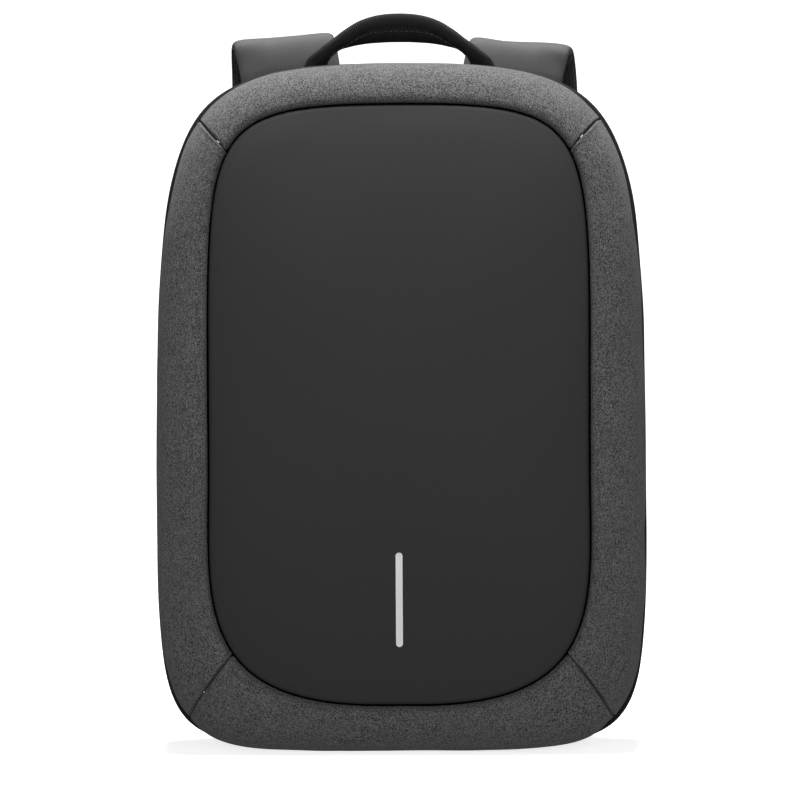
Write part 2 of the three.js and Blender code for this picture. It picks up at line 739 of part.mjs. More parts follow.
/** A point below a strap's tip: so far down the webbing's line, and so far out from it. */
function below({ tip, down, out }, distance, lift) {
  return tip.clone().addScaledVector(down, distance).addScaledVector(out, lift);
}

/** A flat webbing band along points in the webbing line's own plane. */
function webbingBand(line, places) {
  const points = places.map(({ down, out }) => below(line, down, out));
  const route = new THREE.CatmullRomCurve3(points, false, 'centripetal');
  const steps = points.length * 2;
  const sections = Array.from({ length: steps + 1 }, (_, step) => {
    const along = route.getTangent(step / steps);
    const out = line.across.clone().cross(along).normalize();
    const middle = route.getPoint(step / steps);
    return bandSection(middle, line.across, out, WEBBING_WIDTH, WEBBING_THICKNESS, FLAT_SECTION);
  });
  return loft(sections);
}

// The ladder lock's bars, as distances below the strap's tip
const topBar = LOCK_STANDOFF;
const middleBar = topBar + LOCK_BAR + LOCK_UPPER_SLOT;
const lowerBar = middleBar + LOCK_BAR + LOCK_LOWER_SLOT;
const lockEnd = lowerBar + LOCK_BAR;
const wrap = LOCK_THICKNESS / 2 + SEAM_GAP + WEBBING_THICKNESS / 2;

/** The plastic ladder lock: a plate with two slots, so three bars. */
function ladderLock(line) {
  const halfWidth = LOCK_WIDTH / 2;
  const halfSlot = (WEBBING_WIDTH + LOCK_SLOT_SLACK) / 2;
  const rectangle = (Path, half, from, to) => {
    const path = new Path();
    path.moveTo(-half, from);
    path.lineTo(half, from);
    path.lineTo(half, to);
    path.lineTo(-half, to);
    path.closePath();
    return path;
  };
  const plate = rectangle(THREE.Shape, halfWidth, topBar, lockEnd);
  plate.holes.push(
    rectangle(THREE.Path, halfSlot, topBar + LOCK_BAR, middleBar),
    rectangle(THREE.Path, halfSlot, middleBar + LOCK_BAR, lowerBar),
  );
  const geometry = new THREE.ExtrudeGeometry(plate, { depth: LOCK_THICKNESS, bevelEnabled: false });
  geometry.translate(0, 0, -LOCK_THICKNESS / 2);
  const basis = new THREE.Matrix4().makeBasis(line.across, line.down, line.out);
  return geometry.applyMatrix4(basis.setPosition(line.tip));
}

/** Half a turn round a bar's edge, from the back of the lock to the front, or the other way. */
function turnRound(edge, towards, start) {
  return Array.from({ length: TURN_STEPS + 1 }, (_, step) => {
    const angle = start + (Math.PI * step) / TURN_STEPS;
    return { down: edge + towards * wrap * Math.abs(Math.sin(angle)) * 0.5, out: -wrap * Math.cos(angle) };
  });
}

/** The short webbing loop that ties the strap's tip to the lock's top bar. */
function strapLoop(line) {
  const neck = STRAP_PAD * 0.2;
  return webbingBand(line, [
    { down: SEAM_GAP, out: -neck },
    { down: topBar * 0.6, out: -wrap },
    ...turnRound(topBar + LOCK_BAR, 1, 0),
    { down: topBar * 0.6, out: wrap },
    { down: SEAM_GAP, out: neck },
  ]);
}

/** The adjusting webbing: up from the tab behind the lock, round the middle bar and down as a free tail. */
function adjustingWebbing(line) {
  const length = line.foot.distanceTo(line.tip);
  return webbingBand(line, [
    { down: length - TAB_LENGTH - SEAM_GAP, out: 0 },
    { down: (length - TAB_LENGTH + lockEnd) / 2, out: -wrap * 0.8 },
    { down: lowerBar, out: -wrap },
    ...turnRound(middleBar, -1, 0),
    { down: lowerBar, out: wrap },
    { down: lockEnd + WEBBING_TAIL * 0.4, out: wrap * 2 },
    { down: lockEnd + WEBBING_TAIL, out: wrap * 2.4 },
  ]);
}

/** The tapered fabric tab that is sewn flat to the gusset's lower corner and holds the webbing's end. */
function sewnTab(line, { sign }) {
  const seam = gussetLip(TAB_LAP - SMALL_LAP).sub(gussetLip(TAB_LAP + SMALL_LAP)).normalize();
  const along = new THREE.Vector3(seam.x, 0, sign * seam.y);
  const rear = new THREE.Vector3(0, 1, 0);
  const section = (middle, across, out, width) =>
    bandSection(middle, across, out, width, TAB_THICKNESS, FLAT_SECTION);
  return loft([
    section(line.foot.clone().addScaledVector(rear.clone().cross(along), TAB_SEAT), along, rear, TAB_WIDTH),
    section(line.foot, along, rear, TAB_WIDTH),
    section(line.foot.clone().addScaledVector(line.down, -TAB_LENGTH), line.across, line.out, WEBBING_WIDTH),
  ]);
}

const bag = new THREE.Group();

function add(name, geometry, finish) {
  const mesh = new THREE.Mesh(geometry, new THREE.MeshStandardMaterial(COLOURS[finish]));
  mesh.name = name;
  bag.add(mesh);
}

add('front_panel', frontPanel(), 'smooth');
add('top_panel', fabricPanel(0, 2), 'melange');
add('right_side_panel', fabricPanel(2, 4), 'melange');
add('bottom_panel', fabricPanel(4, 7), 'melange');
add('left_side_panel', fabricPanel(7, 9), 'melange');
add('rear_gusset', rearGusset(), 'black');
add('back_panel', backPanel(), 'black');
add('main_zip', mainZip(), 'black');
add('zip_slider', zipSlider(), 'hardware');
add('reflective_strip', reflectiveStrip(), 'reflective');
add('grab_handle', grabHandle(), 'black');
for (const side of STRAP_SIDES) {
  const line = webbingLine(side);
  add(`${side.side}_shoulder_strap`, shoulderStrap(side), 'strap');
  add(`${side.side}_strap_loop`, strapLoop(line), 'black');
  add(`${side.side}_ladder_lock`, ladderLock(line), 'hardware');
  add(`${side.side}_webbing`, adjustingWebbing(line), 'black');
  add(`${side.side}_sewn_tab`, sewnTab(line, side), 'black');
}

// The origin is the middle of the floor that the bag covers, at the height of its base
const covered = new THREE.Box3().setFromObject(bag);
bag.position.set(-(covered.min.x + covered.max.x) / 2, -(covered.min.y + covered.max.y) / 2, -covered.min.z);

export default bag;
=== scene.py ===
"""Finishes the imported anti-theft backpack for its renders.

The bag stands on its base with its smooth front panel towards -Y and its straps at the back. Each soft solid
of the model is replaced by a finer piece of the same form, in its own cloth. Sizes are real ones, in
millimetres, measured from the seam between the melange panels and the rear gusset, as in the part's source.
"""

from __future__ import annotations

import logging
import math
from dataclasses import dataclass, field
from enum import Enum
from typing import Optional, Sequence, Union

import bmesh
import bpy
import numpy as np
from mathutils import Matrix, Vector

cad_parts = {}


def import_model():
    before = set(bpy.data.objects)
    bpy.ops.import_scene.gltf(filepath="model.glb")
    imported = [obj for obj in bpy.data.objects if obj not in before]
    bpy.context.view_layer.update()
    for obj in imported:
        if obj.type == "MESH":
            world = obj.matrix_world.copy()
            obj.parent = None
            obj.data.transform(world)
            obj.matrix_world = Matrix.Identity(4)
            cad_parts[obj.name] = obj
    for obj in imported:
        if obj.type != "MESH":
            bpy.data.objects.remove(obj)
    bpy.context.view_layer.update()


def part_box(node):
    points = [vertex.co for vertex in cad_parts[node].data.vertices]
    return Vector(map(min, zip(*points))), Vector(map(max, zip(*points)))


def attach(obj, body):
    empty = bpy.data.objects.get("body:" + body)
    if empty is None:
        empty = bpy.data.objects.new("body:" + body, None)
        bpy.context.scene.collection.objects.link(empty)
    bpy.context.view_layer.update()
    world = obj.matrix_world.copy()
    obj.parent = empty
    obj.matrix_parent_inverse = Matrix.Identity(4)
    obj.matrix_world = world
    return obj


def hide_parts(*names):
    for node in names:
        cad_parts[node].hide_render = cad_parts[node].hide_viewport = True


LOG = logging.getLogger("backpack")
MM = 0.001
LAPS = 5
LAP_STEP = 0.002  # laps between two places that give a direction
CRISP = 50  # degrees of turn past which an edge stays crisp
CLOTH_UV = "cloth"
UP = "up"
Hex = str
Tree = bpy.types.NodeTree
Node = bpy.types.Node
Socket = bpy.types.NodeSocket
Material = bpy.types.Material
Piece = bpy.types.Object


# Curves and grids


def lerp(a: float, b: float, t: float) -> float:
    """Blends from a to b."""
    return a + (b - a) * t


def ease(t: np.ndarray) -> np.ndarray:
    """Goes smoothly from 0 to 1, and stays there on either side."""
    t = np.clip(t, 0, 1)
    return t * t * (3 - 2 * t)


def rounded(angle: np.ndarray, wide: float, high: float) -> tuple[np.ndarray, np.ndarray]:
    """Gives the unit section of a rounded band, which is squarer the lower its two powers are."""
    a, b = np.cos(angle), np.sin(angle)
    return np.sign(a) * np.abs(a) ** wide, np.sign(b) * np.abs(b) ** high


def upper_face(left: Sequence[tuple[float, float]]) -> list[tuple[float, float]]:
    """Gives a section's whole upper face from its left half, which ends at the middle."""
    return [*left, *((-across, out) for across, out in reversed(left[:-1]))]


def unit(vectors: np.ndarray) -> np.ndarray:
    """Scales vectors to a length of 1."""
    return vectors / np.maximum(np.linalg.norm(vectors, axis=-1, keepdims=True), 1e-12)


def bezier(ends: Sequence[Sequence[float]], t: np.ndarray) -> np.ndarray:
    """Follows a cubic curve with four control points.

    Args:
        ends: The control points.
        t: Where to read the curve, from 0 to 1.

    Returns:
        One point for each t.
    """
    a, b, c, d = (np.asarray(p, float) for p in ends)
    t = t[..., None]
    s = 1 - t
    return s**3 * a + 3 * s * s * t * b + 3 * s * t * t * c + t**3 * d


def through(rows: Sequence[Sequence[float]], t: np.ndarray, stops: Optional[np.ndarray] = None) -> np.ndarray:
    """Reads a table smoothly, without passing beyond the values on either side.

    Args:
        rows: The table, a row for each stop.
        t: Where to read it, in the stops' own measure.
        stops: Where each row lies, or None for rows spread evenly from 0 to 1.

    Returns:
        One row for each t.
    """
    table = np.asarray(rows, float)
    stops = np.linspace(0, 1, len(table)) if stops is None else np.asarray(stops, float)
    gap = np.diff(stops)[:, None]
    rise = np.diff(table, axis=0) / gap
    slope = np.zeros_like(table)
    same = rise[:-1] * rise[1:] > 0
    both = np.where(same, rise[:-1] + rise[1:], 1)
    slope[1:-1] = np.where(same, 2 * rise[:-1] * rise[1:] / both, 0)
    slope[0], slope[-1] = rise[0], rise[-1]
    flat = np.clip(np.ravel(t), stops[0], stops[-1])
    i = np.clip(np.searchsorted(stops, flat, side="right") - 1, 0, len(table) - 2)
    h = gap[i]
    f = ((flat - stops[i]) / h[:, 0])[:, None]
    value = (
        (2 * f**3 - 3 * f**2 + 1) * table[i]
        + (f**3 - 2 * f**2 + f) * h * slope[i]
        + (3 * f**2 - 2 * f**3) * table[i + 1]
        + (f**3 - f**2) * h * slope[i + 1]
    )
    return value.reshape(*np.shape(t), table.shape[1])


@dataclass(frozen=True)
class SmoothRoute:
    """A smooth open route through points, the same curve as the part's source follows."""

    points: np.ndarray

    def at(self, t: float) -> np.ndarray:
        """Gives the point at a share t of the way."""
        pts = self.points
        last = len(pts) - 1
        place = min(max(t, 0.0), 1.0) * last
        i = min(int(place), last - 1)
        w = place - i
        p1, p2 = pts[i], pts[i + 1]
        p0 = pts[i - 1] if i > 0 else 2 * pts[0] - pts[1]
        p3 = pts[i + 2] if i + 2 <= last else 2 * pts[-1] - pts[-2]
        d0, d1, d2 = (math.sqrt(np.linalg.norm(b - a)) for a, b in ((p0, p1), (p1, p2), (p2, p3)))
        t1 = ((p1 - p0) / d0 - (p2 - p0) / (d0 + d1) + (p2 - p1) / d1) * d1
        t2 = ((p2 - p1) / d1 - (p3 - p1) / (d1 + d2) + (p3 - p2) / d2) * d1
        return p1 + t1 * w + (-3 * p1 + 3 * p2 - 2 * t1 - t2) * w**2 + (2 * p1 - 2 * p2 + t1 + t2) * w**3

    def sampled(self, count: int) -> tuple[np.ndarray, np.ndarray]:
        """Gives points along the route and the route's direction at each.

        Args:
            count: How many points.

        Returns:
            The points and the directions.
        """
        shares = np.linspace(0, 1, count)
        points = np.array([self.at(t) for t in shares])
        ahead = np.array([self.at(t + 1e-4) - self.at(t - 1e-4) for t in shares])
        return points, unit(ahead)


@dataclass(frozen=True)
class Ripple:
    """Soft unevenness of cloth, a sum of a few long waves with fixed phases."""

    seed: int
    length: float
    waves: int = 9

    def at(self, u: np.ndarray, v: np.ndarray) -> np.ndarray:
        """Gives a value of about -1 to 1 at each place on the cloth, in mm."""
        random = np.random.default_rng(self.seed)
        total = np.zeros(np.broadcast(u, v).shape)
        for _ in range(self.waves):
            turn = random.uniform(0, 2 * math.pi)
            pace = 2 * math.pi / self.length * random.uniform(0.6, 1.5)
            phase = random.uniform(0, 2 * math.pi)
            total = total + np.sin(pace * (u * math.cos(turn) + v * math.sin(turn)) + phase)
        return total / math.sqrt(self.waves * 1.4)


def grid_normals(grid: np.ndarray, closed: bool) -> np.ndarray:
    """Gives the normals of a grid of points.

    Args:
        grid: Points, columns by rows.
        closed: Whether the last column meets the first.

    Returns:
        A unit vector at each point, along column direction cross row direction.
    """
    if closed:
        along = np.roll(grid, -1, 0) - np.roll(grid, 1, 0)
    else:
        along = np.gradient(grid, axis=0)
    return unit(np.cross(along, np.gradient(grid, axis=1)))


def run_lengths(grid: np.ndarray, axis: int) -> np.ndarray:
    """Gives how far each point of a grid is from its start along one axis, in mm."""
    steps = np.linalg.norm(np.diff(grid, axis=axis), axis=-1)
    pad = [(0, 0), (0, 0)]
    pad[axis] = (1, 0)
    return np.pad(np.cumsum(steps, axis=axis), pad)


# Pieces


class Place:
    """Where the source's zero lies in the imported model's frame, in mm."""

    shift = np.zeros(3)

    @classmethod
    def find(cls) -> None:
        """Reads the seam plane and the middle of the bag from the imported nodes."""
        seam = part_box("bottom_panel")[1][1]
        low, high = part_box("rear_gusset")
        cls.shift = np.array([(low[0] + high[0]) / 2, seam, low[2]]) / MM


def add_piece(
    name: str,
    points: np.ndarray,
    faces: Sequence[Sequence[int]],
    uvs: Optional[np.ndarray] = None,
) -> Piece:
    """Makes a mesh piece from points in the source's frame.

    Args:
        name: The piece's name.
        points: The points, in mm.
        faces: Corner numbers of each face.
        uvs: A place on the cloth for each corner of each face, in mm.

    Returns:
        The piece, linked and smooth.
    """
    mesh = bpy.data.meshes.new(name)
    moved = (np.asarray(points, float).reshape(-1, 3) + Place.shift) * MM
    mesh.from_pydata(moved.tolist(), [], [list(map(int, f)) for f in faces])
    if uvs is not None:
        layer = mesh.uv_layers.new(name=CLOTH_UV)
        layer.data.foreach_set("uv", (np.asarray(uvs, float).reshape(-1) * MM).astype(np.float32))
    mesh.polygons.foreach_set("use_smooth", [True] * len(mesh.polygons))
    mesh.validate()
    mesh.update()
    mesh.set_sharp_from_angle(angle=math.radians(CRISP))
    piece = bpy.data.objects.new(name, mesh)
    bpy.context.scene.collection.objects.link(piece)
    return piece


def signed_volume(points: np.ndarray, faces: Sequence[Sequence[int]]) -> float:
    """Gives a closed mesh's volume, which is negative where its faces point in."""
    total = 0.0
    for face in faces:
        a = points[face[0]]
        for i in range(1, len(face) - 1):
            total += float(np.dot(a, np.cross(points[face[i]], points[face[i + 1]])))
    return total / 6


def walled(
    name: str,
    outer: np.ndarray,
    inner: np.ndarray,
    uvs: np.ndarray,
    closed: bool,
) -> Piece:
    """Closes two grids, an outer and an inner face, into one wall.

    Args:
        name: The piece's name.
        outer: The outer face's points, columns by rows.
        inner: The inner face's points.
        uvs: Each point's place on the cloth in mm, with one column more than the grids if closed.
        closed: Whether the last column meets the first.

    Returns:
        The piece.
    """
    columns, rows = outer.shape[:2]
    points = np.concatenate([outer.reshape(-1, 3), inner.reshape(-1, 3)])
    spans = columns if closed else columns - 1
    half = columns * rows

    def spot(column: int, row: int, side: int) -> int:
        return side * half + (column % columns) * rows + row

    faces: list[list[int]] = []
    places: list[list[tuple[int, int]]] = []
    for c in range(spans):
        for r in range(rows - 1):
            ring = [(c, r), (c + 1, r), (c + 1, r + 1), (c, r + 1)]
            faces.append([spot(*p, 0) for p in ring])
            places.append(ring)
            faces.append([spot(*p, 1) for p in reversed(ring)])
            places.append(ring[::-1])
        for r, flip in ((0, True), (rows - 1, False)):
            ring = [(c, r, 0), (c + 1, r, 0), (c + 1, r, 1), (c, r, 1)]
            ring = ring[::-1] if flip else ring
            faces.append([spot(*p) for p in ring])
            places.append([p[:2] for p in ring])
    for c, flip in () if closed else ((0, False), (columns - 1, True)):
        for r in range(rows - 1):
            ring = [(c, r, 0), (c, r + 1, 0), (c, r + 1, 1), (c, r, 1)]
            ring = ring[::-1] if flip else ring
            faces.append([spot(*p) for p in ring])
            places.append([p[:2] for p in ring])
    if signed_volume(points, faces) < 0:
        faces = [f[::-1] for f in faces]
        places = [p[::-1] for p in places]
    spots = np.array([[uvs[c, r] for c, r in p] for p in places])
    return add_piece(name, points, faces, spots)


def crowned(name: str, rings: np.ndarray, middles: Sequence[np.ndarray]) -> Piece:
    """Closes rings of points into a pad with a point in the middle of each side.

    Args:
        name: The piece's name.
        rings: Rings from the front's middle out to the rim and back to the rear's middle.
        middles: The front's and the rear's middle points.

    Returns:
        The piece, with its cloth mapped straight on from the front.
    """
    count, around = rings.shape[:2]
    points = np.concatenate([rings.reshape(-1, 3), np.asarray(middles, float)])
    front, last = count * around, (count - 1) * around
    faces: list[list[int]] = []
    for i in range(around):
        j = (i + 1) % around
        faces.append([front, i, j])
        faces.append([front + 1, last + j, last + i])
        for ring in range(count - 1):
            here = ring * around
            faces.append([here + j, here + i, here + around + i, here + around + j])
    if signed_volume(points, faces) < 0:
        faces = [f[::-1] for f in faces]
    spots = np.array([points[i][[0, 2]] for face in faces for i in face])
    return add_piece(name, points, faces, spots)


def band(
    name: str,
    middles: np.ndarray,
    across: np.ndarray,
    out: np.ndarray,
    sections: np.ndarray,
    around: bool = True,
) -> Piece:
    """Sweeps a closed section along a route and closes both ends.

    Args:
        name: The piece's name.
        middles: The route's points.
        across: The direction across the band at each point.
        out: The direction out of the band at each point.
        sections: For each point of the route, the section's corners as (across, out) in mm.
        around: Whether the cloth runs around the section, or else along the band's width.

    Returns:
        The piece.
    """
    points = (
        middles[:, None]
        + across[:, None] * sections[..., :1]
        + out[:, None] * sections[..., 1:]
    )
    count, corners = points.shape[:2]
    u = run_lengths(points[:, :1], 0)[:, 0]
    ring = np.linalg.norm(np.diff(np.concatenate([sections, sections[:, :1]], 1), axis=1), axis=-1)
    v = np.pad(np.cumsum(ring, 1), ((0, 0), (1, 0))) if around else None
    faces: list[list[int]] = []
    spots: list[tuple[float, float]] = []
    for i in range(count - 1):
        for k in range(corners):
            n = (k + 1) % corners
            faces.append([i * corners + k, i * corners + n, (i + 1) * corners + n, (i + 1) * corners + k])
            for row, col in ((i, k), (i, k + 1), (i + 1, k + 1), (i + 1, k)):
                side = v[row, col] if around else sections[row, col % corners, 0]
                spots.append((u[row], side))
    for i in (0, count - 1):
        order = range(corners)[::-1] if i == 0 else range(corners)
        faces.append([i * corners + k for k in order])
        spots += [tuple(sections[i, k]) for k in order]
    flat = points.reshape(-1, 3)
    if signed_volume(flat, faces) < 0:
        flipped, at = [], 0
        turned: list[tuple[float, float]] = []
        for f in faces:
            flipped.append(f[::-1])
            turned += spots[at : at + len(f)][::-1]
            at += len(f)
        faces, spots = flipped, turned
    return add_piece(name, flat, faces, np.array(spots))


# Finishes


def linear(code: Hex) -> tuple[float, float, float, float]:
    """Turns an sRGB hex colour to the linear one that shaders take."""
    parts = [int(code[i : i + 2], 16) / 255 for i in (1, 3, 5)]
    return (*(p / 12.92 if p <= 0.04045 else ((p + 0.055) / 1.055) ** 2.4 for p in parts), 1.0)


def node(
    tree: Tree,
    kind: str,
    inputs: Optional[dict[Union[str, int], object]] = None,
    **settings: object,
) -> Node:
    """Adds a node with its settings, values and links.

    Args:
        tree: The node tree.
        kind: The node's type name.
        inputs: Values or sockets by input name or number.
        **settings: The node's own properties.

    Returns:
        The node.
    """
    made = tree.nodes.new(kind)
    for key, value in settings.items():
        setattr(made, key, value)
    for key, value in (inputs or {}).items():
        if isinstance(value, Socket):
            tree.links.new(value, made.inputs[key])
        else:
            made.inputs[key].default_value = value
    return made


def sums(tree: Tree, operation: str, *values: object) -> Socket:
    """Adds one step of arithmetic and gives its result."""
    return node(tree, "ShaderNodeMath", dict(enumerate(values)), operation=operation).outputs[0]


@dataclass(frozen=True)
class Gloss:
    """How a surface answers light, in the shader's own constant values."""

    rough: float
    ior: float = 1.45
    metal: float = 0.0
    level: float = 0.5
    sheen: float = 0.0
    sheen_rough: float = 0.5
    coat: float = 0.0


def surface(name: str, gloss: Gloss) -> tuple[Material, Tree, Node]:
    """Starts a material with a plain shader.

    Args:
        name: The material's name.
        gloss: The shader's constant values.

    Returns:
        The material, its tree and its shader node.
    """
    material = bpy.data.materials.new(name)
    material.use_nodes = True
    tree = material.node_tree
    tree.nodes.clear()
    shader = node(
        tree,
        "ShaderNodeBsdfPrincipled",
        {
            "Roughness": gloss.rough,
            "IOR": gloss.ior,
            "Metallic": gloss.metal,
            "Specular IOR Level": gloss.level,
            "Sheen Weight": gloss.sheen,
            "Sheen Roughness": gloss.sheen_rough,
            "Coat Weight": gloss.coat,
        },
    )
    node(tree, "ShaderNodeOutputMaterial", {"Surface": shader.outputs[0]})
    return material, tree, shader


def cloth_place(tree: Tree, wide: float, high: float) -> tuple[Socket, Socket]:
    """Reads a place on the cloth in units of a pattern.

    Args:
        tree: The node tree.
        wide: The pattern's length along the cloth, in mm.
        high: Its length across, in mm.

    Returns:
        How many patterns along and how many across.
    """
    uv = node(tree, "ShaderNodeUVMap", uv_map=CLOTH_UV)
    parts = node(tree, "ShaderNodeSeparateXYZ", {0: uv.outputs[0]})
    return (
        sums(tree, "MULTIPLY", parts.outputs[0], 1000 / wide),
        sums(tree, "MULTIPLY", parts.outputs[1], 1000 / high),
    )


def speckle(tree: Tree, along: Socket, across: Socket, third: float, detail: float = 0) -> Socket:
    """Gives smooth noise at a place on the cloth."""
    spot = node(tree, "ShaderNodeCombineXYZ", {0: along, 1: across, 2: third})
    made = node(tree, "ShaderNodeTexNoise", {"Vector": spot.outputs[0], "Scale": 1.0, "Detail": detail})
    return made.outputs[0]


def colour_by(share: Socket, shader: Node, low: Hex, high: Hex, start: float, end: float) -> None:
    """Colours a surface by a value, with a colour between two.

    Args:
        share: The value.
        shader: The surface's shader.
        low: The colour at start.
        high: The colour at end.
        start: The value that gives the first colour.
        end: The value that gives the second.
    """
    tree = shader.id_data
    ramp = node(tree, "ShaderNodeValToRGB", {0: share})
    for stop, place, colour in zip(ramp.color_ramp.elements, (start, end), (low, high)):
        stop.position = place
        stop.color = linear(colour)
    tree.links.new(ramp.outputs[0], shader.inputs["Base Color"])


def raise_bump(tree: Tree, shader: Node, height: Socket, deep: float, strength: float) -> None:
    """Raises the surface by a height pattern, deep in mm."""
    bump = node(tree, "ShaderNodeBump", {"Height": height, "Distance": deep * MM, "Strength": strength})
    tree.links.new(bump.outputs[0], shader.inputs["Normal"])


@dataclass(frozen=True)
class MelangePolyester:
    """Melange polyester: plain weave of light and dark spun yarns, so it looks flecked and matt."""

    dark: Hex = "#1a1a1a"
    light: Hex = "#79797a"
    yarn: float = 0.46
    fleck: float = 2.6  # yarns that one fleck of light or dark runs along
    gloss: Gloss = Gloss(rough=0.95, level=0.15, sheen=0.05)

    def make(self) -> Material:
        """Makes the material: crossing yarns, each with flecks along its own length."""
        material, tree, shader = surface("melange_polyester", self.gloss)
        p, q = cloth_place(tree, self.yarn, self.yarn)
        warp, weft = sums(tree, "FLOOR", q), sums(tree, "FLOOR", p)
        over = sums(tree, "PINGPONG", sums(tree, "ADD", warp, weft), 1.0)
        along = speckle(tree, sums(tree, "DIVIDE", p, self.fleck), sums(tree, "MULTIPLY", warp, 7.31), 2.0)
        across = speckle(tree, sums(tree, "MULTIPLY", weft, 5.17), sums(tree, "DIVIDE", q, self.fleck), 9.0)
        mixed = node(tree, "ShaderNodeMix", {0: over, 2: along, 3: across}, data_type="FLOAT").outputs[0]
        cloudy = speckle(tree, sums(tree, "DIVIDE", p, 26.0), sums(tree, "DIVIDE", q, 11.0), 4.0, 2)
        value = sums(tree, "ADD", mixed, sums(tree, "MULTIPLY", sums(tree, "SUBTRACT", cloudy, 0.5), 0.12))
        colour_by(value, shader, self.dark, self.light, 0.3, 0.72)
        bead = sums(tree, "MULTIPLY", sums(tree, "PINGPONG", p, 0.5), sums(tree, "PINGPONG", q, 0.5))
        height = sums(tree, "ADD", bead, sums(tree, "MULTIPLY", mixed, 0.7))
        raise_bump(tree, shader, height, 0.5, 0.6)
        return material


@dataclass(frozen=True)
class FineWeave:
    """Coated fine-weave polyester: an even, close cloth with a slight satin."""

    name: str
    colour: Hex
    bright: Hex
    thread: float = 0.8  # the real thread is 0.25 mm, and it's drawn as coarse as it shows
    gloss: Gloss = Gloss(rough=0.7, level=0.22)
    deep: float = 0.12

    def make(self) -> Material:
        """Makes the material: small even threads and a faint cloudiness."""
        material, tree, shader = surface(self.name, self.gloss)
        p, q = cloth_place(tree, self.thread, self.thread)
        threads = sums(tree, "MULTIPLY", sums(tree, "PINGPONG", p, 0.5), sums(tree, "PINGPONG", q, 0.5))
        grain = speckle(tree, sums(tree, "DIVIDE", p, 1.3), sums(tree, "DIVIDE", q, 1.3), 1.0, 1)
        colour_by(grain, shader, self.colour, self.bright, 0.3, 0.7)
        height = sums(tree, "ADD", threads, sums(tree, "MULTIPLY", grain, 0.4))
        raise_bump(tree, shader, height, self.deep, 0.6)
        return material


@dataclass(frozen=True)
class SpacerMesh:
    """Polyester spacer mesh: a thick knit with round holes, which breathes against the back."""

    colour: Hex = "#2a2a2b"
    # The hole colour is painted shade: the holes are drawn darker than the knit, where shade falls in them.
    hole: Hex = "#0b0b0c"
    pitch: float = 2.4
    gloss: Gloss = Gloss(rough=0.85, level=0.3, sheen=0.08)

    def make(self) -> Material:
        """Makes the material: rows of holes, each row set over by half, with painted shade in the holes."""
        material, tree, shader = surface("spacer_mesh", self.gloss)
        p, q = cloth_place(tree, self.pitch, self.pitch)
        odd_row = sums(tree, "PINGPONG", sums(tree, "FLOOR", q), 1.0)
        shifted = sums(tree, "ADD", p, sums(tree, "MULTIPLY", odd_row, 0.5))
        a = sums(tree, "SUBTRACT", sums(tree, "FRACT", shifted), 0.5)
        b = sums(tree, "SUBTRACT", sums(tree, "FRACT", q), 0.5)
        squares = sums(tree, "ADD", sums(tree, "MULTIPLY", a, a), sums(tree, "MULTIPLY", b, b))
        away = sums(tree, "SQRT", squares)
        # Painted shade: darker towards each hole's middle.
        colour_by(away, shader, self.hole, self.colour, 0.18, 0.34)
        height = node(
            tree,
            "ShaderNodeMapRange",
            {0: away, 1: 0.15, 2: 0.4, 3: 0.0, 4: 1.0},
            interpolation_type="SMOOTHSTEP",
        )
        raise_bump(tree, shader, height.outputs[0], 0.5, 0.8)
        return material


@dataclass(frozen=True)
class RibbedWebbing:
    """Woven webbing: close ribs across its length, which catch the light one by one, with painted shade in
    the grooves between them.
    """

    name: str = "ribbed_webbing"
    colour: Hex = "#202021"
    # The groove colour is painted shade between the ribs.
    groove: Hex = "#060607"
    rib: float = 1.15
    gloss: Gloss = Gloss(rough=0.75, level=0.2)

    def make(self) -> Material:
        """Makes the material: ribs along the cloth, with yarns that break them up, and painted shade in the
        grooves between the ribs.
        """
        material, tree, shader = surface(self.name, self.gloss)
        p, q = cloth_place(tree, self.rib, self.rib * 0.9)
        ripple = speckle(tree, sums(tree, "DIVIDE", p, 3.0), q, 3.0)
        slant = sums(tree, "ADD", p, sums(tree, "MULTIPLY", ripple, 0.35))
        rib = sums(tree, "MULTIPLY", sums(tree, "PINGPONG", slant, 0.5), 2.0)
        # Painted shade: darker in each groove between two ribs.
        colour_by(rib, shader, self.groove, self.colour, 0.1, 0.8)
        raise_bump(tree, shader, rib, 0.35, 0.8)
        return material


@dataclass(frozen=True)
class ReflectiveFilm:
    """Glass-bead reflective film: pale grey, satin, with brighter edges."""

    middle: Hex = "#efeff0"
    edge: Hex = "#fbfbfb"
    half: float = 2.1
    gloss: Gloss = Gloss(rough=0.38, level=0.5)

    def make(self) -> Material:
        """Makes the material: brighter towards the strip's edges, with fine beads."""
        material, tree, shader = surface("reflective_film", self.gloss)
        p, q = cloth_place(tree, self.half, self.half)
        near = sums(tree, "ABSOLUTE", p)
        colour_by(near, shader, self.middle, self.edge, 0.35, 0.85)
        beads = speckle(tree, sums(tree, "MULTIPLY", p, 9.0), sums(tree, "MULTIPLY", q, 9.0), 1.0)
        raise_bump(tree, shader, beads, 0.05, 0.4)
        return material


@dataclass(frozen=True)
class Moulded:
    """A hard small part, moulded or painted, with a fine even grain."""

    name: str
    colour: Hex
    gloss: Gloss
    grain: float = 0.3

    def make(self) -> Material:
        """Makes the material: spark-eroded grain in the colour and the relief."""
        material, tree, shader = surface(self.name, self.gloss)
        where = node(tree, "ShaderNodeTexCoord")
        grain = node(
            tree,
            "ShaderNodeTexNoise",
            {"Vector": where.outputs["Object"], "Scale": 1000 / self.grain / 3, "Detail": 2.0},
        ).outputs[0]
        lighter = "#" + "".join(f"{min(255, int(self.colour[i:i + 2], 16) + 10):02x}" for i in (1, 3, 5))
        colour_by(grain, shader, self.colour, lighter, 0.35, 0.65)
        raise_bump(tree, shader, grain, 0.04, 0.4)
        return material


